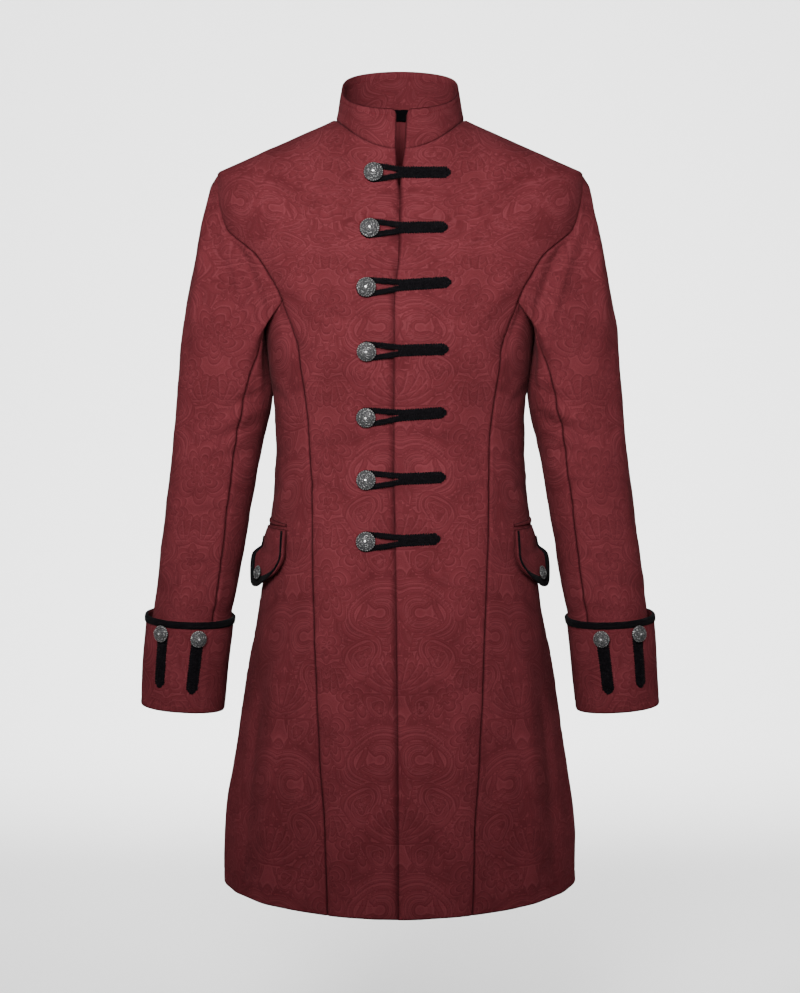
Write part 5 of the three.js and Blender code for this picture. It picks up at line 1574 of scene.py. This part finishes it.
def make_cuff_tab(side, label, number, top_angle, top_share, end_angle, end_share):
    start, end = top_share * CUFF_HEIGHT, end_share * CUFF_HEIGHT

    def place(flat):
        angle = lerp(top_angle, end_angle, (flat[:, 0] - start) / (end - start)) + flat[:, 1] / 0.92
        point, normal = cuff_surface(angle, flat[:, 0] / CUFF_HEIGHT, side)
        return (point + normal * flat[:, 2:3]) * FLIP[side]

    path = [(start + 3, 0), (end, 0)]
    outline, strip, top = braid_strip(path, TAB_HALF, place, thick=1.7, seed=number + side * 3 + 40,
                                      pointed=True)
    points, faces = joined([(outline, strip), fibres(top, place, 320, number + 50 + side)])
    piece = new_object(f"cuff_tab_{label}_{number}", points, faces, BRAID)
    clean(piece)
    seat, normal = cuff_surface(np.array([float(top_angle)]), np.array([top_share]), side)
    make_button(f"cuff_button_{label}_{number}", 10, 2.6, (seat[0] + normal[0] * 2.2) * FLIP[side],
                normal[0] * FLIP[side], number + side)


def make_cuff_trim():
    for side, label in ((1, "left"), (-1, "right")):
        for number, (top, end) in enumerate(CUFF_TABS, 1):
            make_cuff_tab(side, label, number, *top, *end)


FLAP_BUTTON = {"down": 0.758, "across": 0.47}  # as shares of the flap's rows and columns


def make_flap_buttons():
    grid, normals = flap_grid()
    rows, columns = grid.shape[:2]
    row, column = int(FLAP_BUTTON["down"] * (rows - 1)), int(FLAP_BUTTON["across"] * (columns - 1))
    seat, normal = grid[row, column], normals[row, column]
    for side, label in ((1, "left"), (-1, "right")):
        make_button(f"flap_button_{label}", 8.4, 2.6, (seat + normal * 2.0) * FLIP[side],
                    normal * FLIP[side], side * 0.4)


def make_label():
    across, height = np.meshgrid(np.linspace(-11, 11, 13), np.linspace(8, 22, 10))
    level = np.full(across.shape, TIP)
    for _ in range(400):
        theta = theta_at(across, level, True)
        level = np.where(body(theta, level)[..., 2] < height, np.minimum(level + 0.25, NECK), level)
    theta = theta_at(across, level, True)
    normal = body_normal(theta, level)
    relief = body_relief(arc_at(theta, level), level)
    surface = body(theta, level) + normal * (relief - CLOTH - 1.5)[..., None]
    points = np.concatenate([(surface - normal * 0.9).reshape(-1, 3), surface.reshape(-1, 3)])
    count = across.size
    front = quads(*across.shape)
    faces = np.concatenate([front, front[:, ::-1] + count]).tolist()
    index = np.arange(count).reshape(across.shape)
    ring = [*index[0], *index[1:, -1], *index[-1, -2::-1], *index[-2:0:-1, 0]]
    faces += [(b, a, a + count, b + count) for a, b in zip(ring, ring[1:] + ring[:1])]
    piece = new_object("neck_label", points, faces, LABEL_CLOTH)
    clean(piece)


# Rows of thread: each stitch is a small bead that dips at both ends
def stitches(node, path, normals, pitch=3.4, thick=0.42, lift=0.05):
    along = walked(path)

    def read(where, values):
        return np.stack([np.interp(where, along, values[:, c]) for c in range(3)], -1)

    starts = (np.arange(int(along[-1] / pitch)) + 0.12) * pitch
    ends = starts + pitch * 0.7
    firsts, lasts, ways = read(starts, path), read(ends, path), read((starts + ends) / 2, normals)
    points, faces = [], []
    for a, b, n in zip(firsts, lasts, ways):
        side = np.cross((b - a) / np.linalg.norm(b - a), n) * thick
        middle = (a + b) / 2 + n * lift
        crown = middle + n * thick
        base = len(points)
        points += [a - n * 0.1, b - n * 0.1, crown, crown - n * thick * 1.6, middle + side, middle - side]
        for p, q in ((2, 4), (4, 3), (3, 5), (5, 2)):
            faces.append((base, base + p, base + q))
            faces.append((base + 1, base + q, base + p))
    piece = new_object(node, points, faces, THREAD, smooth_shading=False, extra=True)
    clean(piece)


def make_stitching(collar_outer, collar_normal):
    heights = np.linspace(-938, -60, 500)
    point, normal = front_surface(left_edge(heights) + EDGE_STITCH, heights)
    stitches("stitching_front", point + normal * -0.35, normal)
    for side, label, first_x in ((1, "left", -3.0), (-1, "right", 12.0)):
        theta = np.linspace(float(theta_at(first_x, HEM + HEM_STITCH)), math.pi, 700)
        level = np.full(theta.shape, HEM + HEM_STITCH)
        surface, normal = body(theta, level), body_normal(theta, level)
        relief = body_relief(arc_at(theta, level) * side, level) - 0.35
        if side < 0:
            relief = relief - underlap_sink(surface * FLIP[side])
        line = surface + normal * relief[..., None]
        stitches(f"stitching_hem_{label}", line * FLIP[side], normal * FLIP[side])
    # the collar's row, outside and inside
    steps = np.linalg.norm(np.diff(collar_outer, axis=0), axis=-1)
    down = steps[::-1].cumsum(axis=0)[::-1]
    row = np.abs(down.mean(axis=1) - RIM_STITCH).argmin()
    line, way = collar_outer[row, 4:-4], collar_normal[row, 4:-4]
    stitches("stitching_collar", line + way * 0.1, way)
    stitches("stitching_collar_inside", line - way * (COLLAR_CLOTH + 0.1), -way)


make_body()
make_sleeves()
make_cuffs()
collar_outer, collar_normal = make_collar()
make_flaps()
make_frogs()
make_cuff_trim()
make_flap_buttons()
make_label()
make_stitching(collar_outer, collar_normal)
